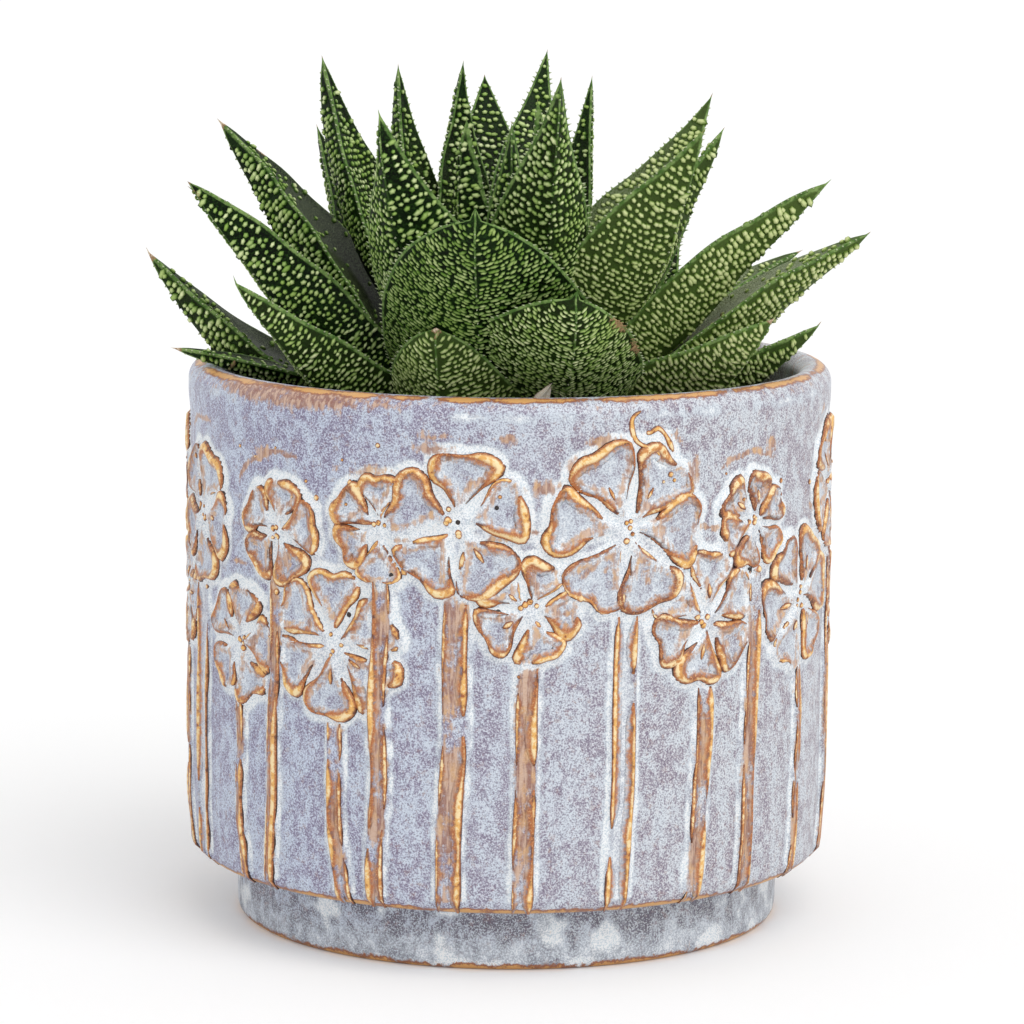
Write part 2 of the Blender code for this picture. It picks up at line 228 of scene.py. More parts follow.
def unit(v):
    """Vectors of the same directions and of length 1."""
    return v / np.maximum(np.linalg.norm(v, axis=-1, keepdims=True), 1e-9)


class Waves:
    """Smooth, repeatable unevenness over two coordinates: a few sine waves of its own seed."""

    def __init__(self, seed, count, reach):
        draw = np.random.default_rng(seed)
        self.turns = draw.uniform(-1, 1, (count, 2)) * reach
        self.phases = draw.uniform(0, 2 * math.pi, count)

    def __call__(self, a, b):
        found = 0
        for (p, q), phase in zip(self.turns, self.phases):
            found = found + np.sin(2 * math.pi * (p * a + q * b) + phase)
        return found / math.sqrt(len(self.phases))


def leaf_frame(leaf, t):
    """The spine's points at t, with unit vectors along the leaf, across it and out of its upper face."""
    bearing = math.radians(leaf.bearing)
    ahead = np.array((math.sin(bearing), -math.cos(bearing), 0))
    rise = math.radians(leaf.rise)
    bend = math.radians(leaf.curl)
    slope = rise + bend * t
    if abs(bend) < 1e-6:
        run = leaf.length * t * math.cos(rise)
        climb = leaf.length * t * math.sin(rise)
    else:
        run = leaf.length / bend * (np.sin(slope) - math.sin(rise))
        climb = leaf.length / bend * (math.cos(rise) - np.cos(slope))
    vertical = np.array((0, 0, 1.0))
    point = np.outer(leaf.root + run, ahead) + np.outer(leaf.height + climb, vertical)
    forward = np.outer(np.cos(slope), ahead) + np.outer(np.sin(slope), vertical)
    across = np.array((math.cos(bearing), math.sin(bearing), 0))
    up = np.cross(forward, across)
    roll = math.radians(leaf.roll)
    return (point, forward, across * math.cos(roll) + up * math.sin(roll),
            up * math.cos(roll) - across * math.sin(roll))


class LeafSkin:
    """The surface of one leaf: t runs from its base to its tip, s from one margin to the other."""

    def __init__(self, leaf, number):
        self.leaf, self.number, self.name = leaf, number, f"leaf_{number:02d}"
        seed = 1000 + 10 * number
        self.dents = Waves(seed, 5, (3.2, 0.9))
        self.ripple = Waves(seed + 1, 3, (5.0, 0.2))
        self.taper = TIP_TAPER if leaf.full < 1.15 else 0.0
        self.dome = DOMED_LEAVES.get(number, 0.0)

    def half(self, t):
        t = np.clip(t, 0, 1)
        wide = along(WIDTH_ALONG, t) ** (1 / self.leaf.full)
        wide = wide + (along(DOMED_WIDTH, t) - wide) * self.dome
        return wide * self.leaf.width / 2 * (1 - self.taper * step_between(0.60, 0.88, t))

    def margin(self, t):
        return MARGIN * np.clip((1 - t) / 0.05, 0.12, 1)

    def calm(self, t):
        return np.clip((1 - t) / CALM, 0, 1)

    def side(self, s):
        return self.leaf.keel + s * np.where(s > 0, 1 - self.leaf.keel, 1 + self.leaf.keel)

    def points(self, t, s, upper):
        """Points of the upper face where upper is 1, and of the lower face where it is 0."""
        point, _, across, up = leaf_frame(self.leaf, t)
        half = self.half(t)
        dip = CHANNEL * half * np.minimum(1, t / 0.2)
        depth = dip + along(THICKNESS_ALONG, t) * self.leaf.thick
        power = KEEL_ROUND_BASE + (KEEL_ROUND_TIP - KEEL_ROUND_BASE) * t
        fade = self.calm(t)
        uneven = DENTS * fade * self.dents(t, s)
        lift = WAVER * fade * self.ripple(t, s)
        top = dip * (s * s - 1) + self.margin(t) + uneven * (1 - s * s)
        ridge = KEEL_LINE * bell(s * half, KEEL_LINE_WIDTH) * step_between(0.15, 0.55, t) * fade
        under = -depth * (1 - np.abs(s) ** power) - self.margin(t) - ridge + uneven * (1 - s * s)
        a = np.where(upper > 0.5, s, self.side(s)) * half
        b = np.where(upper > 0.5, top, under) + lift * s * s
        return point + across * a[:, None] + up * b[:, None]

    def edge_points(self, t, sign):
        """The outermost line of a margin, on the side that sign gives."""
        point, _, across, up = leaf_frame(self.leaf, t)
        lift = WAVER * self.calm(t) * self.ripple(t, sign + 0 * t)
        out = sign * (self.half(t) + self.margin(t))
        return point + across * out[:, None] + up * lift[:, None]

    def normals(self, t, s, upper):
        """Directions along, across and straight out of the skin."""
        dt, ds = 0.004, 0.02
        run = unit(self.points(np.minimum(t + dt, 1), s, upper) - self.points(t - dt, s, upper))
        over = unit(self.points(t, np.minimum(s + ds, 1), upper)
                    - self.points(t, np.maximum(s - ds, -1), upper))
        out = unit(np.cross(run, over)) * np.where(upper > 0.5, 1.0, -1.0)[:, None]
        return run, unit(np.cross(run, out)), out


def placed(name, data):
    """A new object of the scene that shows the data."""
    made = bpy.data.objects.new(name, data)
    bpy.context.scene.collection.objects.link(made)
    return made


class MeshParts:
    """Collects points, triangles and surface values, then makes one mesh object of them."""

    def __init__(self, names):
        self.names = names
        self.points, self.faces, self.values = [], [], {name: [] for name in names}
        self.count = 0

    def add(self, points, faces, **values):
        """Adds points and triangles. A value is one number for all the points, or one for each."""
        points = np.asarray(points, float).reshape(-1, 3)
        self.points.append(points)
        self.faces.append(np.asarray(faces, np.int64).reshape(-1, 3) + self.count)
        for name in self.names:
            given = np.ravel(values.get(name, 0.0)).astype(float)
            self.values[name].append(np.broadcast_to(given, len(points)))
        self.count += len(points)

    def build(self, name, material):
        points = np.concatenate(self.points) * MM
        faces = np.concatenate(self.faces)
        mesh = bpy.data.meshes.new(name)
        mesh.vertices.add(len(points))
        mesh.vertices.foreach_set("co", points.astype(np.float32).ravel())
        mesh.loops.add(faces.size)
        mesh.loops.foreach_set("vertex_index", faces.astype(np.int32).ravel())
        mesh.polygons.add(len(faces))
        mesh.polygons.foreach_set("loop_start", np.arange(0, faces.size, 3, dtype=np.int32))
        for value in self.names:
            layer = mesh.attributes.new(value, "FLOAT", "POINT")
            layer.data.foreach_set("value", np.concatenate(self.values[value]).astype(np.float32))
        mesh.update(calc_edges=True)
        mesh.validate()
        mesh.shade_smooth()
        mesh.materials.append(material)
        return placed(name, mesh)


def grid_faces(rows, columns, closed_round=True):
    """Triangles of a grid of points, row by row. Its columns close into a ring if asked."""
    across = columns if closed_round else columns - 1
    row, column = np.meshgrid(np.arange(rows - 1), np.arange(across), indexing="ij")
    a = row * columns + column
    b = row * columns + (column + 1) % columns
    c, d = a + columns, b + columns
    return np.stack([a, b, d, a, d, c], -1).reshape(-1, 3)


def fan(ring, hub, outward=True):
    """Triangles from a hub point to the ring of points round it."""
    after = np.roll(ring, -1)
    hubs = np.full(len(ring), hub)
    return np.stack([ring, after, hubs] if outward else [after, ring, hubs], -1)


def even_angles(count):
    """Angles in equal steps round a full turn."""
    return 2 * math.pi * np.arange(count) / count


def about_axis(radii, angles, heights):
    """Points about the pot's axis. The angles are bearings in radians."""
    return np.stack([radii * np.sin(angles), -radii * np.cos(angles), heights], -1)


def lathed(radii, heights):
    """Points of a form turned about the pot's axis, from a grid of radii and heights."""
    return about_axis(radii, even_angles(radii.shape[1]), heights)


def in_rings(outline, columns):
    """The radii and heights of an outline, each repeated round the turn."""
    return (np.repeat(np.array(values, float)[:, None], columns, 1) for values in zip(*outline))


def closed_rows(parts, points, low_hub, high_hub, **values):
    """Adds rings of points, from the lowest to the last, with a hub that closes each end."""
    rows, columns = points.shape[:2]
    last = rows * columns
    faces = [grid_faces(rows, columns), fan(np.arange(columns), last, outward=False),
             fan(np.arange(columns) + last - columns, last + 1)]
    ends = {name: np.append(value, (0, 0)) for name, value in values.items()}
    parts.add(np.concatenate([points.reshape(-1, 3), [low_hub, high_hub]]), np.concatenate(faces), **ends)


def rod_faces(rows, columns):
    """Triangles of a rod, a grid of points that closes into a ring, with a flat face at each end."""
    end = (rows - 1) * columns
    low = [(0, k + 1, k) for k in range(1, columns - 1)]
    high = [(end, end + k, end + k + 1) for k in range(1, columns - 1)]
    return np.concatenate([grid_faces(rows, columns), low, high])


def add_copies(parts, points, triangles, values, inside_out=None, **more):
    """Adds many small forms that share their triangles, with a row of points for each.

    values hold one number for each form, and more one for each point. The triangles of the forms
    that are inside_out are turned over."""
    count, each = points.shape[:2]
    faces = triangles[None] + (np.arange(count) * each)[:, None, None]
    if inside_out is not None:
        faces[inside_out] = faces[inside_out][:, :, ::-1]
    parts.add(points, faces, **{name: np.repeat(value, each) for name, value in values.items()}, **more)


# ---------------------------------------------------------------- leaves
LEAF_VALUES = ("edge", "keel", "along", "inner", "bead", "tooth", "tone", "dry", "light")


def leaf_values(skin, t, s, upper):
    """What the leaf's material reads: distances from margin and keel, and where it has dried."""
    half = skin.half(t)
    tip = DRY_TIP.get(skin.number, SHORT_DRY_TIP)
    from_tip = (1 - t) * skin.leaf.length
    dry = step_between(tip * 1.35, tip * 0.75, np.hypot(from_tip, s * half)) if tip else 0 * t
    for number, place, side, tall, wide, strong in DRY_SPOTS:
        if number == skin.number:
            spot = np.exp(-((t - place) / tall) ** 2 - ((s - side) / wide) ** 2)
            dry = np.maximum(dry, strong * spot)
    return {
        "edge": (1 - np.abs(s)) * half,
        "keel": np.where(upper > 0.5, 9.0, np.abs(s) * half),
        "along": t,
        # how far the upper face takes the painted grey sheen
        "inner": upper * (1 if skin.number in GREY_LEAVES else UPPER_SHEEN),
        "dry": dry,
        # the leaf's painted light; below zero, its painted shade
        "light": np.full(len(t), PAINTED_LIGHT_LEAVES.get(skin.number, 0.0)),
    }


def add_skin(parts, skin, tone):
    """The leaf's body, closed at its base and its tip."""
    stations = 1 - (1 - np.arange(LEAF_STATIONS) / LEAF_STATIONS) ** 1.25
    upper_s = np.concatenate([-np.array(UPPER_COLUMNS[:0:-1]), UPPER_COLUMNS])
    lower_s = -np.concatenate([-np.array(LOWER_COLUMNS[:0:-1]), LOWER_COLUMNS])
    around = len(upper_s) + len(lower_s) + 2
    s = np.concatenate([upper_s, [1], lower_s, [-1]])
    upper = np.concatenate([np.ones(len(upper_s)), [0.5], np.zeros(len(lower_s)), [0.5]])
    t = np.repeat(stations, around)
    s, upper = np.tile(s, LEAF_STATIONS), np.tile(upper, LEAF_STATIONS)
    points = skin.points(t, s, upper)
    for sign, column in ((1, len(upper_s)), (-1, around - 1)):
        points[column::around] = skin.edge_points(stations, sign)
    point, forward, _, up = (v[0] for v in leaf_frame(skin.leaf, np.array([1.0])))
    long, turn = SPIKE.get(skin.number, SHORT_SPIKE)
    turn = math.radians(turn)
    tip = point + (forward * math.cos(turn) + up * math.sin(turn)) * (long - SPIKE_ROOT)
    base = points[:around].mean(0)
    last = (LEAF_STATIONS - 1) * around
    faces = np.concatenate([grid_faces(LEAF_STATIONS, around),
                            fan(np.arange(around) + last, len(points)),
                            fan(np.arange(around), len(points) + 1, outward=False)])
    values = leaf_values(skin, np.append(t, (1, 0)), np.append(s, (0, 0)), np.append(upper, (0, 0)))
    parts.add(np.concatenate([points, [tip, base]]), faces[:, ::-1], tone=tone, **values)


def bead_places(skin, upper, draw):
    """Where the raised beads stand: uneven rows across the leaf that rise towards its margins."""
    leaf = skin.leaf
    number = skin.number
    fine = number in FINE_LEAVES
    found = []
    at = HEART_START if number in HEART_LEAVES else BEAD_START
    while at < leaf.length * 0.99:
        t = at / leaf.length
        coarse = step_between(0.22, 0.75, t) * (LOW_COARSENESS if number in LOW_LEAVES else 1.0)
        pitch = (ROW_PITCH + COARSE_PITCH * coarse) * (BACK_PITCH if number in BACK_LEAVES else 1.0)
        pitch *= FINE_PITCH if fine else 1.0
        half = float(skin.half(np.array([t]))[0])
        trace = skin.points(np.full(len(ACROSS), t), ACROSS, np.full(len(ACROSS), float(upper)))
        arc = lengths_along(trace)
        gap = (BEAD_GAP + COARSE_GAP * coarse) * (FINE_GAP if fine else 1.0)
        count = max(1, int(arc[-1] / gap))
        place = np.arange(count) + 0.5 + draw.uniform(-0.5, 0.5) + draw.uniform(-0.30, 0.30, count)
        place = np.clip(place / count, 0, 1) * arc[-1]
        s = np.interp(place, arc, ACROSS)
        slant = 0.05 + 0.15 * step_between(0.50, 0.95, t)
        rows = t + slant * (np.abs(s) * half - 0.4 * half) / leaf.length
        rows = rows + draw.normal(0, 0.15 * pitch, count) / leaf.length
        size = draw.uniform(0.78, 1.15, count) * (0.92 + 0.08 * coarse)
        size *= FINE_SIZE if fine else FULL_SIZE if number in FULL_LEAVES else 1.0
        from_edge = np.minimum(place, arc[-1] - place)
        from_keel = np.abs(place - np.interp(0, ACROSS, arc))
        found.append(np.stack([rows, s, np.full(count, coarse), size, np.full(count, slant),
                               from_edge, from_keel], -1))
        at += pitch * draw.uniform(0.9, 1.1)
    t, s, coarse, size, slant, from_edge, from_keel = np.concatenate(found).T
    keep = (from_edge > BARE) & (t > 0.06) & (t < 0.98)
    clear = 0.0 if fine else 0.25
    keep &= (upper > 0.5) | (from_keel > clear + 0.20 * step_between(0.65, 0.85, t))
    chance = 0.97 * (1 - 0.3 * step_between(0.90, 0.97, t))
    if upper and number in GREY_LEAVES:
        chance = chance * (0.06 + 0.5 * step_between(0.6, 0.9, t))
    keep &= draw.uniform(0, 1, len(t)) < chance
    return t[keep], s[keep], coarse[keep], size[keep], slant[keep]


def out_of_sight(tree, places, run, over, out):
    """Which beads lie so deep between the leaves that no view reaches them."""
    hidden = (places[:, 2] < DEEP) & (np.hypot(places[:, 0], places[:, 1]) < INNER_RADIUS - 2)
    aims = [out] + [out * 0.6 + way * 0.8 for way in (run, -run, over, -over)]
    for k in np.flatnonzero(~hidden):
        start = Vector(places[k] + out[k] * 0.9)
        hidden[k] = all(tree.ray_cast(start, Vector(aim[k]), SIGHT)[0] is not None for aim in aims)
    return hidden


def add_beads(parts, skin, upper, draw, tree):
    """Raised pale beads, each a small closed dome that is sunk into the skin."""
    t, s, coarse, size, slant = bead_places(skin, upper, draw)
    flag = np.full(len(t), float(upper))
    run, over, out = skin.normals(t, s, flag)
    centre = skin.points(t, s, flag)
    seen = ~out_of_sight(tree, centre, run, over, out)
    t, s, coarse, size, slant, flag = (v[seen] for v in (t, s, coarse, size, slant, flag))
    run, over, out, centre = (v[seen] for v in (run, over, out, centre))
    count = len(t)
    lean = np.arctan(slant) * np.sign(s) + draw.normal(0, 0.24, count)
    long_way = over * np.cos(lean)[:, None] + run * np.sin(lean)[:, None]
    short_way = run * np.cos(lean)[:, None] - over * np.sin(lean)[:, None]
    merged = draw.uniform(0, 1, count) < JOINED
    stretch = np.where(coarse > 0.4, draw.uniform(1.0, 1.4, count), draw.uniform(1.35, 2.0, count))
    stretch = stretch * np.where(merged, 1.5, 1.0)
    short = (BEAD_WIDE + COARSE_WIDE * coarse) * size
    long = short * stretch
    tall = (BEAD_TALL + COARSE_TALL * coarse) * size
    angles = even_angles(BEAD_SIDES)

    def ring(share, height):
        a = np.cos(angles)[None, :, None] * (long * share)[:, None, None] * long_way[:, None]
        b = np.sin(angles)[None, :, None] * (short * share)[:, None, None] * short_way[:, None]
        return centre[:, None] + a + b + (height[:, None] * out)[:, None]

    rim = ring(np.ones(count), np.full(count, -BEAD_SINK))
    shoulder = ring(np.full(count, 0.68), tall * 0.72)
    top = (centre + tall[:, None] * out)[:, None]
    points = np.concatenate([rim, shoulder, top], 1)
    bottom = [(0, k + 1, k) for k in range(1, BEAD_SIDES - 1)]
    dome = np.concatenate([grid_faces(2, BEAD_SIDES), bottom,
                           fan(np.arange(BEAD_SIDES) + BEAD_SIDES, 2 * BEAD_SIDES)])
    # long_way, short_way and out form a left-handed set on one face and a right-handed one on
    # the other, so the triangles are turned to point out.
    hand = np.einsum("ij,ij->i", np.cross(long_way, short_way), out)
    raised = np.tile([0.0] * BEAD_SIDES + [BEAD_SHOULDER] * BEAD_SIDES + [1.0], count)
    values = leaf_values(skin, t, s, flag) | {"tone": draw.uniform(0, 1, count)}
    add_copies(parts, points, dome, values, hand < 0, bead=raised)


def add_teeth(parts, skin, draw):
    """Small pale teeth along both margins and, higher up, along the keel."""
    leaf = skin.leaf
    for side, start, spacing in TOOTH_ROWS:
        count = int(leaf.length * (TOOTH_END - start) / spacing)
        t = start + (TOOTH_END - start) * (np.arange(count) + draw.uniform(0.2, 0.8, count)) / count
        _, forward, across, up = leaf_frame(leaf, t)
        if side:
            foot = skin.edge_points(t, side)
            out = across * side
        else:
            foot = skin.points(t, np.zeros(count), np.zeros(count))
            out = -up
        tall = draw.uniform(0.40, 0.85, count) * (1.0 if side else 0.7)
        tall = tall * (1 - 0.5 * step_between(0.85, 0.97, t))
        flat = unit(np.cross(forward, out))
        tip = foot + out * tall[:, None] + forward * (0.55 * tall)[:, None]
        inner = foot - out * 0.15
        points = np.stack([inner - forward * 0.42, inner - flat * 0.24, inner + forward * 0.36,
                           inner + flat * 0.24, tip], 1)
        values = leaf_values(skin, t, np.full(count, float(side)), np.full(count, 0.5))
        values["tone"] = draw.uniform(0, 1, count)
        add_copies(parts, points, TOOTH, values, tooth=np.tile((0.3, 0.3, 0.3, 0.3, 1.0), count))


def make_leaf(skin, material, tree):
    draw = np.random.default_rng(SEED + skin.number)
    parts = MeshParts(LEAF_VALUES)
    add_skin(parts, skin, draw.uniform(0, 1))
    add_beads(parts, skin, 0, draw, tree)
    add_beads(parts, skin, 1, draw, tree)
    add_teeth(parts, skin, draw)
    return parts.build("skin_" + skin.name, material)


def all_skins():
    """The leaves' surfaces, and a tree of them all that rays can be sent through."""
    skins = [LeafSkin(Leaf(*row), number) for number, row in enumerate(ROSETTE, 1)]
    shells = MeshParts(LEAF_VALUES)
    for skin in skins:
        add_skin(shells, skin, 0)
    tree = BVHTree.FromPolygons(np.concatenate(shells.points).tolist(),
                                np.concatenate(shells.faces).tolist(), all_triangles=True)
    return skins, tree


# ---------------------------------------------------------------- materials
def srgb(red, green, blue):
    """A colour written as 0 to 255 in sRGB, as the linear values that a shader takes."""
    shares = [channel / 255 for channel in (red, green, blue)]
    return tuple(c / 12.92 if c <= 0.04045 else ((c + 0.055) / 1.055) ** 2.4 for c in shares) + (1.0,)


class Value:
    """What a node puts out. Sums, differences and products of values make nodes of their own."""

    def __init__(self, look, socket):
        self.look, self.socket = look, socket

    def __add__(self, other):
        return self.look.math("ADD", self, other)

    def __radd__(self, other):
        return self.look.math("ADD", other, self)

    def __sub__(self, other):
        return self.look.math("SUBTRACT", self, other)

    def __mul__(self, other):
        return self.look.math("MULTIPLY", self, other)

    def between(self, low, high):
        """0 where the value is at low, 1 where it is at high, with a smooth rise between them."""
        return self.look.node("ShaderNodeMapRange", {0: self, 1: low, 2: high},
                              interpolation_type="SMOOTHSTEP")


class Nodes:
    """A tree of shader nodes that is built one step at a time."""

    def __init__(self, tree):
        self.tree = tree

    def feed(self, socket, value):
        if isinstance(value, Value):
            self.tree.links.new(value.socket, socket)
        else:
            socket.default_value = value

    def node(self, kind, inputs=(), out=0, **settings):
        made = self.tree.nodes.new(kind)
        for key, value in settings.items():
            setattr(made, key, value)
        for key, value in dict(inputs).items():
            self.feed(made.inputs[key], value)
        return Value(self, made.outputs[out] if made.outputs else None)

    def math(self, operation, a, b=0.0):
        return self.node("ShaderNodeMath", {0: a, 1: b}, operation=operation)

    def ray(self, kind):
        """1 for rays of this kind, and 0 for the others."""
        return self.node("ShaderNodeLightPath", out=f"Is {kind} Ray")


class Shader(Nodes):
    """The look of a piece: what feeds a material's one surface node."""

    def __init__(self, name):
        self.material = bpy.data.materials.new(name)
        self.material.use_nodes = True
        super().__init__(self.material.node_tree)
        self.place = self.node("ShaderNodeTexCoord", out="Object")

    def values(self, names):
        """What the mesh says by these names."""
        return [self.node("ShaderNodeAttribute", out="Fac", attribute_name=name) for name in names]

    def axis(self, number):
        """How far a place lies along the world's X, Y or Z, in metres."""
        return self.node("ShaderNodeSeparateXYZ", {"Vector": self.place}, out=number)

    def noise(self, size, detail=2.0, roughness=0.5, scale=None):
        """Soft noise whose features are about size millimetres across, divided by the scale."""
        place = self.place
        if scale:
            place = self.node("ShaderNodeMapping", {"Scale": scale, "Vector": place})
        return self.node("ShaderNodeTexNoise", {"Scale": 1 / (size * MM), "Detail": detail,
                                                "Roughness": roughness, "Vector": place}, out="Fac")

    def mix(self, share, a, b):
        """a where share is 0 and b where it is 1. Either can be a colour's three numbers."""
        a, b = (srgb(*colour) if isinstance(colour, tuple) else colour for colour in (a, b))
        return self.node("ShaderNodeMix", {0: share, 6: a, 7: b}, out=2, data_type="RGBA")

    def finish(self, colour, roughness, height, depth, shine):
        """Joins the steps to the surface. depth is the height of the bumps in millimetres."""
        surface = self.tree.nodes["Principled BSDF"].inputs
        self.feed(surface["Base Color"], colour)
        self.feed(surface["Roughness"], roughness)
        self.feed(surface["Normal"], self.node("ShaderNodeBump", {"Height": height,
                                                                  "Distance": depth * MM, "Strength": 1.0}))
        self.feed(surface["Specular IOR Level"], shine)
        return self.material


def leaf_material():
    look = Shader("gasteria_leaf")
    edge, keel, reach, inner, bead, tooth, tone, dry, light = look.values(LEAF_VALUES)
    patches = look.noise(9.0, 3.0)
    grain = look.noise(0.55, 3.0, 0.65)
    speckle = look.noise(0.3, 2.0, 0.7)
    # skin, and the painted grey sheen of the upper faces, paler on leaves with painted light
    skin = look.mix(patches.between(0.35, 0.7), (2, 10, 0), (14, 34, 5))
    skin = look.mix(grain.between(0.45, 0.75), skin, (38, 68, 20))
    grey_sheen = look.mix(speckle.between(0.44, 0.66), (22, 30, 13), (108, 122, 86))
    lit_sheen = look.mix(speckle.between(0.36, 0.60), (86, 100, 60), (204, 212, 176))
    grey_sheen = look.mix(light.between(0.5, 0.9), grey_sheen, lit_sheen)
    # painted light: the skin of some leaves made paler and yellower
    skin = look.mix(light * 0.20, skin, (140, 172, 84))
    skin = look.mix(inner * reach.between(1.0, 0.55), skin, grey_sheen)
    # beads: pale on top and green on their flanks, partly their own colour and partly a painted highlight
    # on their tops
    pale = look.mix(tone, (144, 180, 84), (248, 255, 200))
    pale = look.mix(patches.between(0.35, 0.8), pale, (172, 200, 104))
    # painted light on the beads of some leaves, and painted shade where the value is below zero
    pale = look.mix(light * 0.60, pale, (228, 234, 172))
    shade = light.between(0.0, -1.0)
    pale = look.mix(shade, pale, look.mix(tone, (98, 134, 52), (168, 192, 108)))
    flank = look.mix(light * 0.90, (70, 104, 38), (116, 144, 64))
    flank = look.mix(shade, flank, (52, 84, 26))
    bump = look.mix(bead.between(0.36, 0.94), flank, pale)
    colour = look.mix(bead.between(0.06, 0.34), skin, bump)
    # horny margins, keel and teeth
    horny = look.mix(look.noise(1.6).between(0.35, 0.65), (78, 112, 50), (136, 164, 96))
    rim = (edge + grain * 0.5).between(0.56, 0.28)
    ridge = (keel + grain * 0.5).between(0.56, 0.34) * reach.between(0.66, 0.96)
    colour = look.mix(look.math("MAXIMUM", rim, ridge), colour, horny)
    colour = look.mix(tooth, colour, (214, 222, 184))
    # painted shade at the foot, and dry tips and spots
    foot_shade = look.axis(2).between((POT_HEIGHT - FOOT_SHADE_START) * MM, (POT_HEIGHT - FOOT_SHADE_END) * MM) * FOOT_SHADE
    colour = look.mix(foot_shade, colour, (12, 22, 6))
    straw = look.mix(grain.between(0.3, 0.7), (150, 110, 76), (244, 230, 204))
    brown = look.mix(grain, (96, 66, 42), (196, 166, 122))
    straw = look.mix(dry.between(0.65, 0.9), brown, straw)
    colour = look.mix((dry + (grain - 0.5) * 1.2).between(0.38, 0.55), colour, straw)
    return look.finish(colour, 0.42 + grain * 0.22, look.noise(0.35, 3.0, 0.6), depth=0.05, shine=0.10)


# ---------------------------------------------------------------- pot
# The wall is a height field over bearing and height. The glaze's gold lines are drawn on it as
# separate raised strips, because they are finer than its grid.
WALL = 7.5
POT_FLOOR = 10.0
FOOT_RADIUS = 59.0
FOOT_HEIGHT = 14.0
FOOT_CORNER = 2.0
HEEL_INSET = 0.7
HEEL_CORNER = 3.2
HEEL_START = 65.0  # the heel's outline lies beyond this radius, and the foot's within it
HEEL_SWELL = 11.0  # height over which the wall above the heel swells
LIP_LOW, LIP_HIGH = 109, 115  # levels between which it swells again to the lip
LIP_INSET = 0.6
INNER_RADIUS = POT_RADIUS - WALL
GROUND = 0.9  # the plain wall lies this far inside the CAD wall, and the relief stands out from it
RELIEF_FOOT = 17.2
RELIEF_TOP = 113.6
ROW_STEP = 0.8
POT_COLUMNS = 540
GLAZE_VALUES = ("rise", "pool", "warm", "line", "streak")

Flower = collections.namedtuple("Flower", "bearing height radius petals turn stem width lean")
# bearing and height place the centre, turn is the first petal's angle, stem is a raised band or
# two thin rails, and lean is how far its foot stands to the side, in degrees of bearing. Later
# flowers, and their stems, lie over earlier ones.
LOW_FLOWERS = (
    (-81, 72, 12, 5, 20, "band", 3.4, 1.0),
    (-54, 66, 13, 5, 12, "band", 2.4, 0.7),
    (-31, 69, 16.5, 6, 4, "band", 3.6, 1.5),
    (3.6, 78, 11.5, 5, 20, "band", 4.4, -1.0),
    (36, 74, 14.5, 6, 8, "band", 4.0, -2.2),
    (62, 75, 15.5, 6, 25, "band", 2.2, -1.2),
    (93, 71, 13, 5, 0, "band", 3.6, 1.4),
    (120, 70, 15, 6, 14, "band", 2.8, -1.0),
    (147, 76, 12, 5, 33, "band", 4.6, 1.2),
    (175, 70, 16, 6, 6, "band", 3.8, -1.5),
    (203, 77, 11.5, 5, 15, "band", 3.0, 0.8),
    (229, 69, 15.5, 6, 22, "band", 4.4, 1.0),
    (254, 73, 12.5, 5, 2, "band", 2.6, -0.8),
)
HIGH_FLOWERS = (
    (-69, 91, 15.5, 5, 30, "rails", 7.0, -1.0),
    (-43.5, 91, 11.5, 5, 10, "band", 2.8, -2.6),
    (-22, 94, 12, 6, 0, "band", 3.8, -1.0),
    (-8.5, 95.5, 16, 5, 2, "band", 5.2, -1.6),
    (20.5, 94, 18, 6, 35, "rails", 5.0, -1.4),
    (47, 93.5, 11, 6, 12, "band", 3.8, -1.2),
    (80, 96, 15, 5, 40, "band", 2.8, -2.0),
    (106, 93, 16, 6, 0, "rails", 5.4, 1.2),
    (134, 94.5, 12, 5, 24, "band", 3.4, 1.0),
    (159, 94, 17, 6, 10, "band", 4.6, -1.2),
    (188, 93, 12.5, 5, 50, "rails", 4.8, 1.0),
    (214, 94, 16.5, 6, 18, "band", 4.2, 1.6),
    (242, 95, 12.5, 5, 8, "band", 2.8, -1.4),
    (266, 96, 14, 6, 30, "band", 3.8, 0.6),
)
# Rust marks in the glaze between the rim and the flowers: bearing, height, half width and height.
RUST_MARKS = ((-13.5, 113.8, 6, 1.4), (-13, 110.7, 5, 1.3), (-24, 105.5, 4, 1.6), (6, 103.0, 3.5, 2.0),
              (12, 107.5, 4, 2.0), (16.5, 112.2, 5, 1.8), (0, 113.5, 2.5, 2.0), (33, 105, 2, 3.5),
              (52, 109, 3, 1.5), (-47, 107, 3, 1.5), (100, 112, 5, 1.5), (140, 108, 4, 1.6),
              (181, 113, 6, 1.4), (223, 106, 4, 1.8), (260, 112, 4, 1.6))
# A run of glaze from the rim down to a flower, and a small hook beside it: bearing and height.
RIM_RUNS = (((22.6, 118.3), (21.2, 117.2), (20.9, 115.4), (21.5, 112.8), (22.9, 111.3),
             (25.1, 110.3), (26.8, 107.8)),
            ((23.6, 113.9), (24.4, 113.8), (25.8, 114.6), (27.4, 112.8), (28.9, 109.6)))
# A petal's outline: shares of its length from the flower's centre, and of half its width.
PETAL = ((0.14, 0.0), (0.30, -0.46), (0.52, -0.70), (0.74, -0.86), (0.91, -0.80), (0.99, -0.48),
         (0.92, -0.05), (0.98, 0.40), (0.94, 0.78), (0.75, 0.86), (0.52, 0.72), (0.30, 0.46))
PETAL_STEPS = 3
PETAL_BODY = 0.62
DISH = 0.34  # how far a petal's middle lies below its edge
CENTRE_BODY, CENTRE_SHARE = 0.45, 0.26  # height of a flower's centre, and its share of the radius
STEM_BODY = 0.72
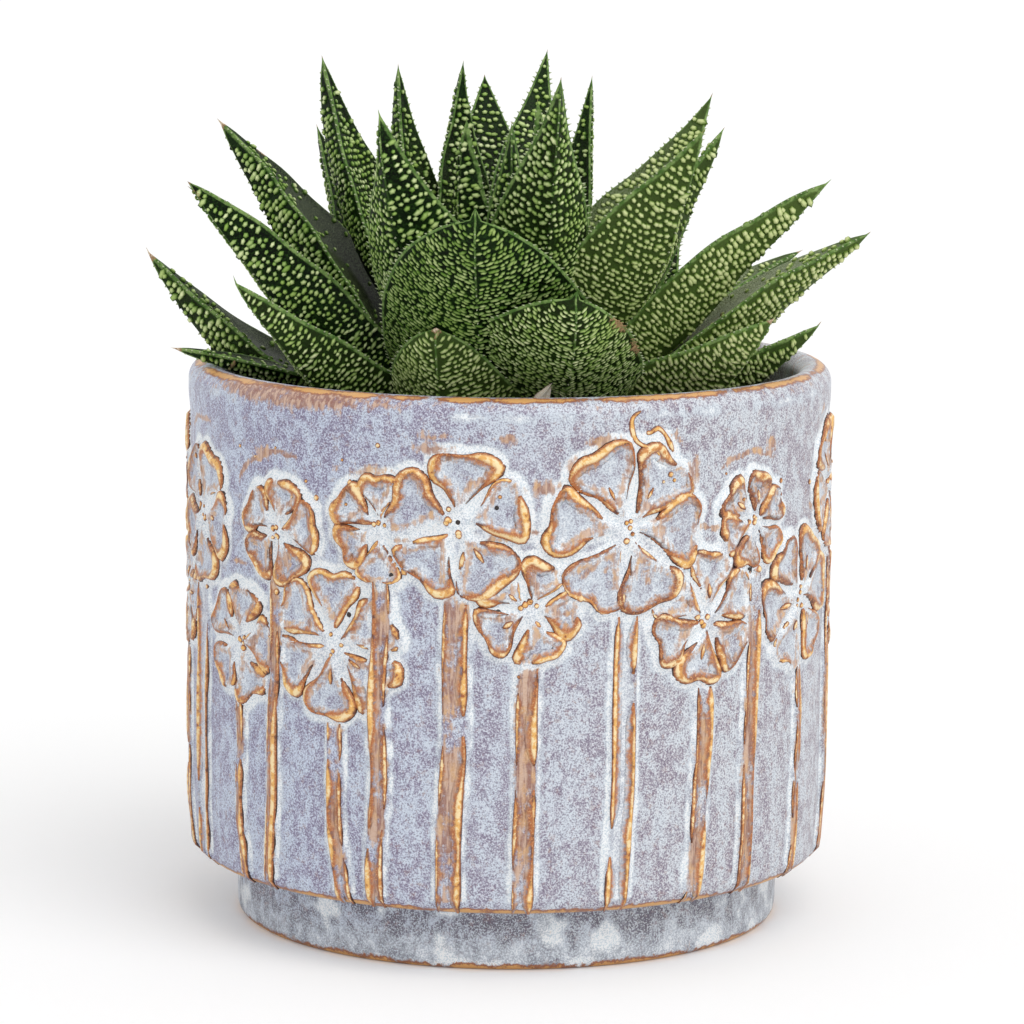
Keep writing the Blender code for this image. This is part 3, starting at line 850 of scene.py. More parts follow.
# The least and the greatest width of each kind of gold line.
BOLD_LINE = (0.7, 1.7)
FAINT_LINE = (0.35, 0.9)
RAIL_LINE = (1.0, 1.6)
PETAL_LINE = (0.55, 2.3)
RUN_LINE = (0.8, 1.5)
SPOTS = 60  # stray drops of glaze above the flowers
SPOT_TOP, SPOT_REACH = 113, 15  # the highest of them, and how far down they lie
PITS = 26  # pinholes, where the glaze has shrunk away
PIT_LEVELS = (64, 100)
HALO = 2.0  # reach of the pale glaze that pools round a form
PIT = -1.0  # the streak value of a pinhole
HEEL_GOLD = 14.6  # level of the gold band where the heel begins
RIM_GOLD, RIM_GOLD_REACH = 66, 19  # how far round the rim its gold band lies, and its reach, in degrees
RIM_HIGHLIGHT, RIM_HIGHLIGHT_REACH = 117.4, 0.9  # level and reach of the pale band under it, a painted highlight
SMEAR, SMEAR_REACH = -42, 20  # bearing and reach of the rusty smear on the rim's outer side
GOLDEN_LEVELS = (115, 111)  # the rust turns golden below these


def around(bearing):
    """Length along the wall, in millimetres, that belongs to a bearing in degrees."""
    return math.radians(bearing) * POT_RADIUS


GIRTH = around(360)


def wrapped(u):
    return (u + GIRTH / 2) % GIRTH - GIRTH / 2


def wall_radius(z):
    """Radius of the plain outer wall at a height, from the heel to the lip."""
    low = POT_RADIUS - HEEL_INSET - GROUND
    heel = np.sqrt(np.maximum(HEEL_CORNER ** 2 - np.maximum(RELIEF_FOOT - z, 0) ** 2, 0)) - HEEL_CORNER
    swell = HEEL_INSET * np.clip((z - RELIEF_FOOT) / HEEL_SWELL, 0, 1)
    lip = (GROUND - LIP_INSET + 0.1) * step_between(LIP_LOW, LIP_HIGH, z)
    rounding = np.sqrt(np.maximum((WALL / 2) ** 2 - np.maximum(z - POT_HEIGHT + WALL / 2, 0) ** 2, 0))
    return low + heel + swell + lip + rounding - WALL / 2


def smooth_curve(points, steps, closed=False):
    """A curve through the points, in equal steps from each to the next."""
    p = np.asarray(points, float)
    if closed:
        p = np.vstack([p[-1], p, p[:2]])
    else:
        p = np.vstack([2 * p[0] - p[1], p, 2 * p[-1] - p[-2]])
    u = np.arange(steps)[:, None] / steps
    found = []
    for a, b, c, d in zip(p, p[1:], p[2:], p[3:]):
        found.append(0.5 * (2 * b + (c - a) * u + (2 * a - 5 * b + 4 * c - d) * u ** 2
                            + (3 * b - a - 3 * c + d) * u ** 3))
    return np.vstack([*found, p[-2:-1]])


def distance_to_line(points, line):
    """The shortest distance from each point to a line of joined segments."""
    best = np.full(len(points), 1e9)
    for a, b in zip(line, line[1:]):
        along_it = b - a
        share = np.clip(((points - a) @ along_it) / (along_it @ along_it + 1e-9), 0, 1)
        best = np.minimum(best, np.linalg.norm(points - a - share[:, None] * along_it, axis=1))
    return best


def inside_line(points, line):
    """Whether each point lies inside a closed line."""
    x, y = points.T
    found = np.zeros(len(points), bool)
    for (ax, ay), (bx, by) in zip(line, np.roll(line, -1, 0)):
        if ay != by:
            crosses = (ay > y) != (by > y)
            found ^= crosses & (x < (bx - ax) * (y - ay) / (by - ay) + ax)
    return found


def petal_outline(flower, number, draw):
    """One petal's outline about the flower's centre, as (round the pot, up) in millimetres."""
    half_turn = math.pi / flower.petals
    middle = math.radians(flower.turn) + 2 * half_turn * number + draw.uniform(-0.07, 0.07)
    reach = flower.radius * draw.uniform(0.94, 1.06)
    wide = half_turn * draw.uniform(0.98, 1.08)
    outline = []
    for share, side in PETAL:
        angle = middle + side * wide + draw.uniform(-0.04, 0.04)
        length = reach * (share + draw.uniform(-0.03, 0.03))
        outline.append((length * math.sin(angle), length * math.cos(angle)))
    return smooth_curve(outline, PETAL_STEPS, closed=True)


def stroke_width(draw, count, limits, turns):
    """Widths along a stroke, which swells and thins unevenly between its limits."""
    low, high = limits
    swell = Waves(draw.integers(1 << 30), 4, (turns, 0))(np.linspace(0, 1, count), 0)
    return low + (high - low) * step_between(-1.1, 1.1, swell)


def whole_waves(seed, low, high):
    """Uneven values round the pot: six waves, each a whole number of times to the turn."""
    count = 6
    draw = np.random.default_rng(seed)
    angles = even_angles(POT_COLUMNS)
    return sum(np.sin(draw.integers(low, high) * angles + draw.uniform(0, 2 * math.pi))
               for _ in range(count)) / math.sqrt(count)


class Relief:
    """The ornament on the wall: a height field, the colours of its glaze and the lines on it."""

    def __init__(self):
        self.rows = RELIEF_FOOT + ROW_STEP * np.arange(int((RELIEF_TOP - RELIEF_FOOT) / ROW_STEP) + 1)
        self.columns = wrapped(GIRTH * np.arange(POT_COLUMNS) / POT_COLUMNS)
        self.height, self.warm, self.pool = np.zeros((3, len(self.rows), POT_COLUMNS))
        self.lines = []  # (points, widths, layer, streak, whether one side runs out into the glaze)
        self.covers = []  # (layer, test of points)

    def patch(self, u, z, reach, rise):
        """The rows and columns near a place, with their points relative to it."""
        rows = np.where(np.abs(self.rows - z) < rise)[0]
        columns = np.where(np.abs(wrapped(self.columns - u)) < reach)[0]
        grid = np.ix_(rows, columns)
        across, up = np.meshgrid(wrapped(self.columns[columns] - u), self.rows[rows] - z)
        return grid, np.stack([across.ravel(), up.ravel()], -1)

    def raise_to(self, field, grid, values):
        """Raises a field to the values, where it lies below them."""
        field[grid] = np.maximum(field[grid], values.reshape(field[grid].shape))

    def lay(self, grid, share, halo, **values):
        """Lays a form over what is there, where share is 1, with pale glaze pooled round it."""
        shape = self.height[grid].shape
        share = share.reshape(shape)
        self.raise_to(self.pool, grid, halo)
        for name, value in values.items():
            field = getattr(self, name)
            field[grid] = field[grid] * (1 - share) + value.reshape(shape) * share

    def stroke(self, points, widths, layer, streak, draw, gaps=0, inner=0):
        """Adds a raised line of gold glaze, broken in a few places.

        inner is 1 or -1 where its right or left side runs out into the glaze."""
        if inner < 0:
            points, widths = points[::-1], widths[::-1]
        cuts = sorted(draw.integers(2, max(3, len(points) - 2), gaps)) + [len(points) + 1]
        start = 0
        for cut in cuts:
            if cut - 1 - start > 2:
                self.lines.append((points[start:cut - 1], widths[start:cut - 1], layer, streak,
                                   inner != 0))
            start = cut + draw.integers(0, 2)

    def add_stem(self, flower, layer, draw):
        top = flower.height - 0.80 * flower.radius
        foot = RELIEF_FOOT - 3.0
        start, end = around(flower.bearing), around(flower.bearing + flower.lean)
        sway = Waves(draw.integers(1 << 30), 3, (2.2, 0.0))

        def middle(z):
            share = np.clip((top - z) / (top - foot), 0, 1)
            return start + (end - start) * share ** 1.4 + 0.32 * sway(share, 0 * share)

        centre = (start + end) / 2
        reach = abs(end - start) / 2 + flower.width + 4
        grid, near = self.patch(centre, (top + foot) / 2, reach, (top - foot) / 2 + 0.5)
        z = near[:, 1] + (top + foot) / 2
        off = np.abs(near[:, 0] + centre - middle(z))
        half = flower.width / 2
        below = step_between(top + 1, top - 1, z)
        share = step_between(half + 0.55, half - 0.25, off) * below
        halo = step_between(half + 1.7, half + 0.5, off) * below * (0.62 + 0.2 * sway(z / 14, 0 * z))
        rail = bell(off - half, 0.8)
        if flower.stem == "band":
            body = STEM_BODY + 0.28 * (off / half) ** 2
            warm = 0.80 + 0.30 * sway(z / 30, off / 9)
            pool = 0 * body
        else:
            body, warm, pool = 0.10 + 0.75 * rail, 0.4 * rail, 0.38 * (1 - rail)
        self.lay(grid, share, halo, height=body, warm=np.clip(warm, 0, 1), pool=pool)
        z = np.linspace(top + 0.6, foot, 34)
        strong = draw.choice((-1, 1))
        for side in (-1, 1):
            bold = side == strong or flower.stem == "rails"
            limits = RAIL_LINE if flower.stem == "rails" else BOLD_LINE if bold else FAINT_LINE
            width = stroke_width(draw, len(z), limits, 4)
            points = np.stack([middle(z) + side * (half - 0.42 * width), z], -1)
            self.stroke(points, width, layer, 0.75 if bold else 0.3, draw, 1 if bold else 3, side)
        self.covers.append((layer, lambda p: (np.abs(wrapped(p[:, 0] - middle(p[:, 1]))) < half + 0.3)
                            & (p[:, 1] < top)))

    def add_flower(self, flower, layer, draw):
        u, z, size = around(flower.bearing), flower.height, flower.radius
        grid, near = self.patch(u, z, size + 8, size + 8)
        body, share, warm = np.zeros((3, len(near)))
        outside = np.full(len(near), 1e9)
        outlines = [petal_outline(flower, k, draw) for k in range(flower.petals)]
        for outline in outlines:
            away = distance_to_line(near, outline)
            inner = np.where(inside_line(near, outline), away, -away)
            form = (PETAL_BODY * step_between(-0.7, 0.6, inner) - DISH * step_between(0.9, 3.6, inner)
                    + 0.30 * bell(inner - 0.5, 0.8))
            body = np.maximum(body, form)
            share = np.maximum(share, step_between(-1.1, 0.2, inner))
            warm = np.maximum(warm, 0.75 * bell(inner - 1.3, 1.0) * (inner > -1))
            outside = np.minimum(outside, -inner)
            for _ in range(draw.integers(0, 3)):
                warm = np.maximum(warm, self.streak_in_petal(flower, outline, near, draw))
        from_centre = np.linalg.norm(near, axis=1)
        middle = CENTRE_BODY * step_between(size * CENTRE_SHARE, size * 0.08, from_centre)
        body = np.maximum(body, middle)
        pool = 0.22 + 0.20 * step_between(3.0, 0.8, -outside)
        pool = np.where(outside > -0.3, 0.46, pool)
        halo = step_between(HALO + 0.4, 0.5, outside) * (0.62 + 0.33 * step_between(-4, 6, near[:, 1]))
        heading = np.degrees(np.arctan2(near[:, 0], near[:, 1]))
        start, end = sorted(draw.uniform(-60, 60, 2))
        echo = bell(outside - draw.uniform(3.6, 5.4), 0.7) * 1.1
        echo = echo * step_between(start - 8, start + 4, heading) * step_between(end + 8, end - 4, heading)
        self.raise_to(self.warm, grid, echo)
        near_centre = step_between(size * CENTRE_SHARE, size * 0.12, from_centre)
        self.lay(grid, np.maximum(share, near_centre), halo, height=body, warm=warm, pool=pool)
        for outline in outlines:
            self.draw_petal(flower, outline, layer, draw)
        for _ in range(draw.integers(4, 7)):
            angle, away = draw.uniform(0, 2 * math.pi), size * draw.uniform(0.03, 0.17)
            spot = (u + away * math.sin(angle), z + away * math.cos(angle))
            self.add_drop(spot, draw.uniform(0.8, 1.5), layer, 0.9)
        outer = size * 0.93
        self.covers.append((layer, lambda p: np.hypot(wrapped(p[:, 0] - u), p[:, 1] - z) < outer))

    def streak_in_petal(self, flower, outline, near, draw):
        """How rusty the glaze is along a short line that runs out from the flower's centre."""
        middle = unit(outline[len(outline) // 2])
        tilt = draw.uniform(-0.35, 0.35)
        heading = np.array((middle[0] * math.cos(tilt) - middle[1] * math.sin(tilt),
                            middle[0] * math.sin(tilt) + middle[1] * math.cos(tilt)))
        start, end = sorted(draw.uniform(0.25, 0.75, 2) * flower.radius)
        away = distance_to_line(near, heading * np.array(((start,), (end,))))
        return 0.9 * bell(away, 0.75)

    def add_drop(self, spot, size, layer, streak):
        spot = np.array(spot)
        self.lines.append((np.array([spot, spot + (0.3 * size, 0.1 * size)]), np.full(2, size), layer,
                           streak, False))

    def draw_petal(self, flower, outline, layer, draw):
        """The gold line round a petal, which is wide at its outer corners and broken."""
        centre = np.array((around(flower.bearing), flower.height))
        inner = outline * (1 - 0.70 / flower.radius) + centre
        last = len(inner) - 1
        first, end = draw.integers(1, 6), last - draw.integers(1, 6)
        if draw.uniform(0, 1) < 0.10:
            first = last // 2 - draw.integers(1, 4)
        points = inner[first:end + 1]
        width = stroke_width(draw, len(points), PETAL_LINE, 2.8)
        outward = np.linalg.norm(points - centre, axis=1) / flower.radius
        width *= 0.62 + 0.38 * step_between(0.45, 0.85, outward)
        gaps = int(draw.choice((0, 1, 2), p=(0.55, 0.33, 0.12)))
        turned = np.sum(outline[:-1, 0] * outline[1:, 1] - outline[1:, 0] * outline[:-1, 1])
        self.stroke(points, width, layer, draw.uniform(0.2, 1), draw, gaps, -1 if turned > 0 else 1)
        if draw.uniform(0, 1) < 0.35:
            middle = outline[last // 2]
            share = np.linspace(draw.uniform(0.30, 0.45), draw.uniform(0.50, 0.66), 5)[:, None]
            width = np.full(5, draw.uniform(0.8, 1.4))
            self.lines.append((centre + middle * share, width, layer, 0.35, False))

    def sample(self, field, u, z):
        """A field's value at any place on the wall."""
        column = (u % GIRTH) / GIRTH * POT_COLUMNS
        row = np.clip((z - RELIEF_FOOT) / ROW_STEP, 0, len(self.rows) - 1.001)
        c, r = np.floor(column).astype(int), np.floor(row).astype(int)
        fc, fr = column - c, row - r
        c0, c1 = c % POT_COLUMNS, (c + 1) % POT_COLUMNS
        return ((field[r, c0] * (1 - fc) + field[r, c1] * fc) * (1 - fr)
                + (field[r + 1, c0] * (1 - fc) + field[r + 1, c1] * fc) * fr)


def make_relief():
    relief = Relief()
    draw = np.random.default_rng(SEED)
    layer = 0
    for rows in (LOW_FLOWERS, HIGH_FLOWERS):
        flowers = [Flower(*row) for row in rows]
        for flower in flowers:
            relief.add_stem(flower, layer, draw)
        layer += 1
        for flower in flowers:
            relief.add_flower(flower, layer, draw)
            layer += 1
    for run in RIM_RUNS:
        points = smooth_curve([(around(bearing), z) for bearing, z in run], 4)
        relief.stroke(points, stroke_width(draw, len(points), RUN_LINE, 2), -1, 0.8, draw)
        grid, near = relief.patch(*points.mean(0), 14, 14)
        away = distance_to_line(near + points.mean(0), points)
        relief.raise_to(relief.pool, grid, step_between(2.2, 0.7, away))
    for bearing, z, wide, tall in RUST_MARKS:
        grid, near = relief.patch(around(bearing), z, 2.5 * wide, 2.5 * tall)
        mark = np.exp(-(near[:, 0] / wide) ** 2 - (near[:, 1] / tall) ** 2)
        relief.raise_to(relief.warm, grid, mark)
    for _ in range(SPOTS):
        spot = (draw.uniform(0, GIRTH), SPOT_TOP - SPOT_REACH * draw.uniform(0, 1) ** 0.6)
        relief.add_drop(spot, draw.uniform(0.6, 1.4), -1, draw.uniform(0, 0.9))
    for _ in range(PITS):
        spot = (draw.uniform(0, GIRTH), draw.uniform(*PIT_LEVELS))
        relief.add_drop(spot, draw.uniform(0.6, 1.5), -1, PIT)
    return relief


def pot_rows():
    """The pot's outline from the centre of its underside, over the rim, to the floor inside."""
    def arc(centre, radius, start, end, steps):
        angles = np.radians(np.linspace(start, end, steps + 1))
        return [(centre[0] + radius * math.cos(a), centre[1] + radius * math.sin(a)) for a in angles]

    lip = WALL / 2
    heel = POT_RADIUS - HEEL_INSET - GROUND - HEEL_CORNER
    below = [(30, 0), (52, 0)]
    below += arc((FOOT_RADIUS - FOOT_CORNER, FOOT_CORNER), FOOT_CORNER, -90, 0, 4)
    below += [(FOOT_RADIUS, z) for z in (3, 4.5, 6, 7.5, 9, 10.5, 12, 12.8)]
    below += [(FOOT_RADIUS + 0.25, 13.5), (FOOT_RADIUS + 1, FOOT_HEIGHT), (63, FOOT_HEIGHT)]
    below += arc((heel, FOOT_HEIGHT + HEEL_CORNER), HEEL_CORNER, -90, 0, 6)[:-1]
    outer = POT_RADIUS - LIP_INSET + 0.1
    above = [(outer, RELIEF_TOP + 1.2), (outer, RELIEF_TOP + 2.0)]
    above += arc((outer - lip, POT_HEIGHT - lip), lip, 0, 180, 16)
    inner = [(INNER_RADIUS, z) for z in (113, 109, 104, 98, 60, 26)]
    inner += [(61, 18), (56, 12.5), (40, POT_FLOOR)]
    return below, above, inner


def make_pot(relief, material):
    below, above, inner = pot_rows()
    bearing = np.degrees((even_angles(POT_COLUMNS) + math.pi) % (2 * math.pi) - math.pi)
    low_radii, low_heights = in_rings(below, POT_COLUMNS)
    top_radii, top_heights = in_rings(above + inner, POT_COLUMNS)
    carried = relief.height[0] * 0.9
    uneven = 0.12 * whole_waves(SEED + 5, 2, 9)
    for k, (r, z) in enumerate(below):
        if r > HEEL_START and z >= FOOT_HEIGHT:
            low_radii[k] += carried * (z - FOOT_HEIGHT) / HEEL_CORNER
        elif FOOT_CORNER < z < FOOT_HEIGHT:
            low_radii[k] += uneven
    fade = step_between(RELIEF_FOOT - 3.2, RELIEF_FOOT, relief.rows)[:, None]
    wall = wall_radius(relief.rows)[:, None] + relief.height * fade
    levels = np.repeat(relief.rows[:, None], POT_COLUMNS, 1)
    points = lathed(np.concatenate([low_radii, wall, top_radii]),
                    np.concatenate([low_heights, levels, top_heights]))
    rise, pool, warm = np.zeros((3, len(points), POT_COLUMNS))
    first, last = len(below), len(below) + len(wall)
    pool[first:last], warm[first:last] = relief.pool, relief.warm
    breaks = whole_waves(SEED + 7, 12, 50)
    for k, (r, z) in enumerate(below):
        edge = bell(z - HEEL_GOLD, 1.0) if r > HEEL_START else bell(z, 1.7)
        rise[k] = edge * (0.80 + 0.16 * breaks)
        warm[k] = 0.5 * edge
        if r < HEEL_START:
            pool[k] = 0.08 + 0.20 * step_between(10, 3, z)
    smear = bell(bearing - SMEAR, SMEAR_REACH)
    for k, (r, z) in enumerate(above, last):
        turn = math.degrees(math.atan2(z - POT_HEIGHT + WALL / 2, r - POT_RADIUS + LIP_INSET + WALL / 2))
        rise[k] = bell(turn - RIM_GOLD, RIM_GOLD_REACH) * (0.78 + 0.20 * breaks)
        if turn < 80:
            # on the lip's top, warm gives rusty patches as a painted reflection of the dark leaves; the
            # smear is rust
            warm[k] = smear * step_between(115.5, 118.5, z) + 0.25 * step_between(118, 119, z)
            # painted highlight: the pale band under the rim's gold line
            pool[k] = bell(z - RIM_HIGHLIGHT, RIM_HIGHLIGHT_REACH) * (1 - smear) * (0.22 + 0.20 * breaks)
        else:
            # painted reflection of the dark leaves: rusty patches on the rim's top
            warm[k] = 0.25 * (1 + breaks)
    parts = MeshParts(GLAZE_VALUES)
    rise, pool, warm = (np.clip(value, 0, 1) for value in (rise, pool, warm))
    closed_rows(parts, points, (0, 0, 0), (0, 0, POT_FLOOR), rise=rise, pool=pool, warm=warm)
    return parts.build("glazed_pot", material)


# A line's cross-section: share of its width, its own reach in millimetres, share of the line's
# height, depth in millimetres, and what the material reads there as rise and as line. The first
# is for lines that stand alone, the second for edges whose inner side runs out into the glaze.
ALONE = ((-0.50, -0.22, 0.0, -0.35, 0.0, 1), (-0.50, 0, 0.16, 0, 0.20, 1), (-0.34, 0, 0.68, 0, 0.6, 1),
         (-0.12, 0, 0.95, 0, 0.95, 1), (0.12, 0, 0.95, 0, 1.0, 1), (0.34, 0, 0.68, 0, 0.7, 1),
         (0.50, 0, 0.16, 0, 0.25, 1), (0.50, 0.22, 0.0, -0.35, 0.0, 1))
EDGE = ((-0.50, -0.22, 0.0, -0.40, 0.0, 1), (-0.50, 0, 0.20, 0, 0.16, 1), (-0.38, 0, 0.70, 0, 0.62, 1),
        (-0.10, 0, 1.0, 0, 1.0, 1), (0.20, 0, 0.85, 0, 0.8, 1), (0.42, 0.05, 0.45, 0.05, 0.58, 0.85),
        (0.50, 0.5, 0.15, 0.08, 0.46, 0.50), (0.50, 1.5, 0.0, -0.12, 0.4, 0))
LINE_HEIGHT = 0.36


def shown_runs(relief, points, layer):
    """The stretches of a line that no later form covers."""
    hidden = np.zeros(len(points), bool)
    for above, covers in relief.covers:
        if above > layer >= 0:
            hidden |= covers(points)
    runs, start = [], None
    for k, covered in enumerate([*hidden, True]):
        if not covered and start is None:
            start = k
        if covered and start is not None:
            if k - start > 1:
                runs.append(slice(start, k))
            start = None
    return runs


def make_gold_lines(relief, material):
    """The raised strokes of gold glaze on petals and stems, the stray drops and the pinholes."""
    parts = MeshParts(GLAZE_VALUES)
    for points, widths, layer, streak, edge in relief.lines:
        shares, reach, tops, depth, rises, cover = np.array(EDGE if edge else ALONE).T
        for run in shown_runs(relief, points, layer):
            line, width = points[run], widths[run]
            if len(line) == 2:  # a drop
                heading = unit(line[1] - line[0])
                line = line[0] + heading * (np.linspace(-0.46, 0.46, 5)[:, None] * width[0])
                width = width[0] * np.array((0.35, 0.85, 1, 0.85, 0.35))
            else:
                width = width * np.clip(0.35 + from_ends(len(line)) / 2.5, 0, 1)
            count = len(line)
            heading = unit(np.gradient(line, axis=0))
            side = np.stack([heading[:, 1], -heading[:, 0]], -1)
            across = shares * width[:, None] + reach * np.clip(0.1 + from_ends(count)[:, None] / 3, 0, 1)
            places = line[:, None] + side[:, None] * across[..., None]
            u, z = places[..., 0], places[..., 1]
            base = relief.sample(relief.height, u, z)
            for _ in range(3):
                base[1:-1] = (base[:-2] + 2 * base[1:-1] + base[2:]) / 4
            tall = LINE_HEIGHT * np.clip(width / 1.3, 0.3, 1.2) * (0.3 if streak == PIT else 1.0)
            radius = wall_radius(z) + base + tops * tall[:, None] + depth
            rise = np.tile(rises, (count, 1)) * (width / width.max())[:, None] ** 0.5
            parts.add(about_axis(radius, u / POT_RADIUS, z), rod_faces(count, len(shares)), rise=rise,
                      pool=relief.sample(relief.pool, u, z), warm=relief.sample(relief.warm, u, z),
                      line=np.tile(cover, count), streak=streak)
    return parts.build("pot_gold_lines", material)


def around_half(noise, reach):
    """The noise as a rise and fall about zero."""
    return (noise - 0.5) * reach


def glaze_material():
    look = Shader("reactive_glaze")
    rise, pool, warm, line, streak = look.values(GLAZE_VALUES)
    fine = look.noise(0.36, 2.0, 0.7)
    medium = look.noise(1.5, 3.0, 0.6)
    patch = look.noise(8.0, 3.0, 0.6)
    blots = look.noise(2.6, 2.0, 0.6, (1, 1, 0.7))
    runs = look.noise(5.0, 3.0, 0.55, (1, 1, 0.25))
    streaks = look.noise(0.9, 3.0, 0.6, (1, 1, 0.12))
    # lavender ground, painted bluer and darker on the left, the side away from the lamp, as shade
    cloud = around_half(patch, 0.4) + (around_half(runs, 0.5) + around_half(blots, 1.1))
    right, height = look.axis(0).between(-0.06, 0.05), look.axis(2)
    light = look.mix(right, (190, 200, 222), (204, 209, 216))
    deep = look.mix(right, (146, 142, 172), (160, 152, 164))
    colour = look.mix(cloud.between(-0.11, 0.13), light, deep)
    foot = height.between((FOOT_HEIGHT + 0.5) * MM, (FOOT_HEIGHT - 0.5) * MM)
    # painted shade: the foot darkened all round, broken by the glaze's mottling
    colour = look.mix(foot * cloud.between(-0.25, 0.10) * 0.95, colour, (108, 108, 118))
    colour = look.mix(medium.between(0.56, 0.68) * 0.50, colour, (152, 112, 108))
    # the pale grains also bluer on the left, as painted shade
    grains = look.mix(right, (220, 230, 246), (234, 238, 242))
    colour = look.mix(fine.between(0.50, 0.59) * 0.72, colour, grains)
    colour = look.mix(fine.between(0.48, 0.39) * 0.72, colour, (112, 100, 122))
    # pale glaze that has pooled, and the painted highlight under the rim
    blotch = foot * look.noise(11.0).between(0.52, 0.66)
    pooled = pool + (around_half(fine, 0.6) + around_half(cloud, -0.5)) + (blotch * 0.5 - 0.25)
    white = look.mix(fine.between(0.40, 0.55), (214, 226, 234), (252, 254, 255))
    colour = look.mix(pooled.between(0.0, 0.30) * 0.6, colour, (204, 214, 224))
    colour = look.mix(pooled.between(0.22, 0.60) * 0.95, colour, white)
    # rust, which on the rim's top is a painted reflection of the dark leaves
    flush = warm + (around_half(medium, 1.5) + around_half(streaks, 1.3))
    rust_and_reflection = look.mix(streaks.between(0.44, 0.62), (154, 102, 76), (212, 174, 144))
    golden = blots.between(0.50, 0.66) * height.between(*(level * MM for level in GOLDEN_LEVELS))
    rust_and_reflection = look.mix(golden * 0.75, rust_and_reflection, (228, 180, 120))
    colour = look.mix(flush.between(0.35, 0.85) * 0.85, colour, rust_and_reflection)
    # gold on the rim, the heel and the foot
    ridge = rise + (around_half(medium, 0.9) + around_half(fine, 0.5)) - line
    colour = look.mix(ridge.between(0.34, 0.52), colour, (160, 102, 72))
    colour = look.mix(ridge.between(0.56, 0.76), colour, (222, 168, 104))
    # the raised lines: gold at the core with cream patches as painted highlights, brown at the flanks,
    # nearly black at the edges, partly their own dark rim and partly painted shadow
    mood = (streak + around_half(look.noise(3.0), 1.6)).between(0.0, 0.8)
    core = look.mix(mood, (208, 138, 76), (242, 188, 108))
    # painted highlights: cream patches on the core
    core = look.mix(medium.between(0.46, 0.58), core, (255, 230, 178))
    core = look.mix(medium.between(0.42, 0.30), core, (170, 98, 54))
    flank = look.mix(mood, (140, 80, 52), (182, 108, 58))
    flank = look.mix(fine.between(0.52, 0.66), flank, (214, 160, 110))
    flank = look.mix(medium.between(0.50, 0.36), flank, (108, 62, 44))
    across = rise + around_half(fine, 0.25)
    metal = look.mix(across.between(0.56, 0.86), flank, core)
    # nearly black edges: partly the lines' own dark rim, partly painted shadow
    stroke = look.mix(across.between(0.14, 0.42), (58, 34, 30), metal)
    stroke = look.mix(streak.between(-0.3, -0.7), stroke, (44, 34, 32))
    shown = (line + (around_half(fine, 1.0) + around_half(medium, 1.4))).between(0.22, 0.95)
    colour = look.mix(look.math("MAXIMUM", shown, line.between(0.9, 1.0)), colour, stroke)
    return look.finish(colour, 0.27 + fine * 0.16, fine, depth=0.04, shine=0.5)


# ---------------------------------------------------------------- soil, stem and withered leaf
SOIL_PROFILE = ((0, 97.0), (12, 97.4), (22, 98.2), (34, 100.0), (46, 102.0), (56, 103.3),
                (SOIL_RADIUS, 103.0))  # radius and height of the soil's surface
SOIL_BELOW = ((49.8, 10.7), (55.8, 12.7), (60.8, 18.2), (62.3, 26.0), (62.3, 60.0))
SOIL_RINGS, SOIL_COLUMNS = 44, 168
SOIL_HUBS = ((0, 0, 10.2), (0, 0, 96.6))  # the points that close it below and above
CRUMBS = 640
CRUMB_LEAST, CRUMB_MORE = 0.35, 1.25  # a crumb's least size, and how much larger one can be
# Radius and height.
STEM_OUTLINE = ((0, 84), (5, 84.5), (9, 90), (12, 97), (13, 101), (13, 106), (10, 111), (7, 115),
                (5.4, 118), (4.4, 121), (3.4, 124), (2.4, 127), (1.8, 129), (0, 130))
STEM_ROWS, STEM_COLUMNS = 52, 40
PAPER = 0.22  # half the withered leaf's thickness
PAPER_COLUMNS, PAPER_ROWS = 11, 34
# How far its left and right edges lie from its spine, from its base to its tip.
PAPER_LEFT = ((0, 2.0), (0.5, 1.3), (0.80, 0.4), (0.90, 1.9), (0.95, 0.5), (1, -1.3))
PAPER_RIGHT = ((0, 2.0), (0.5, 1.3), (0.80, 0.9), (0.88, 1.5), (0.95, 1.8), (1, 1.7))


def soil_height(x, y):
    level = along(SOIL_PROFILE, np.clip(np.hypot(x, y), 0, SOIL_RADIUS))
    return level + 0.42 * SOIL_SWELLS(x, y) + 0.26 * SOIL_GRAINS(x, y) - 0.5


SOIL_SWELLS = Waves(SEED + 40, 9, (0.09, 0.09))
SOIL_GRAINS = Waves(SEED + 41, 14, (0.42, 0.42))


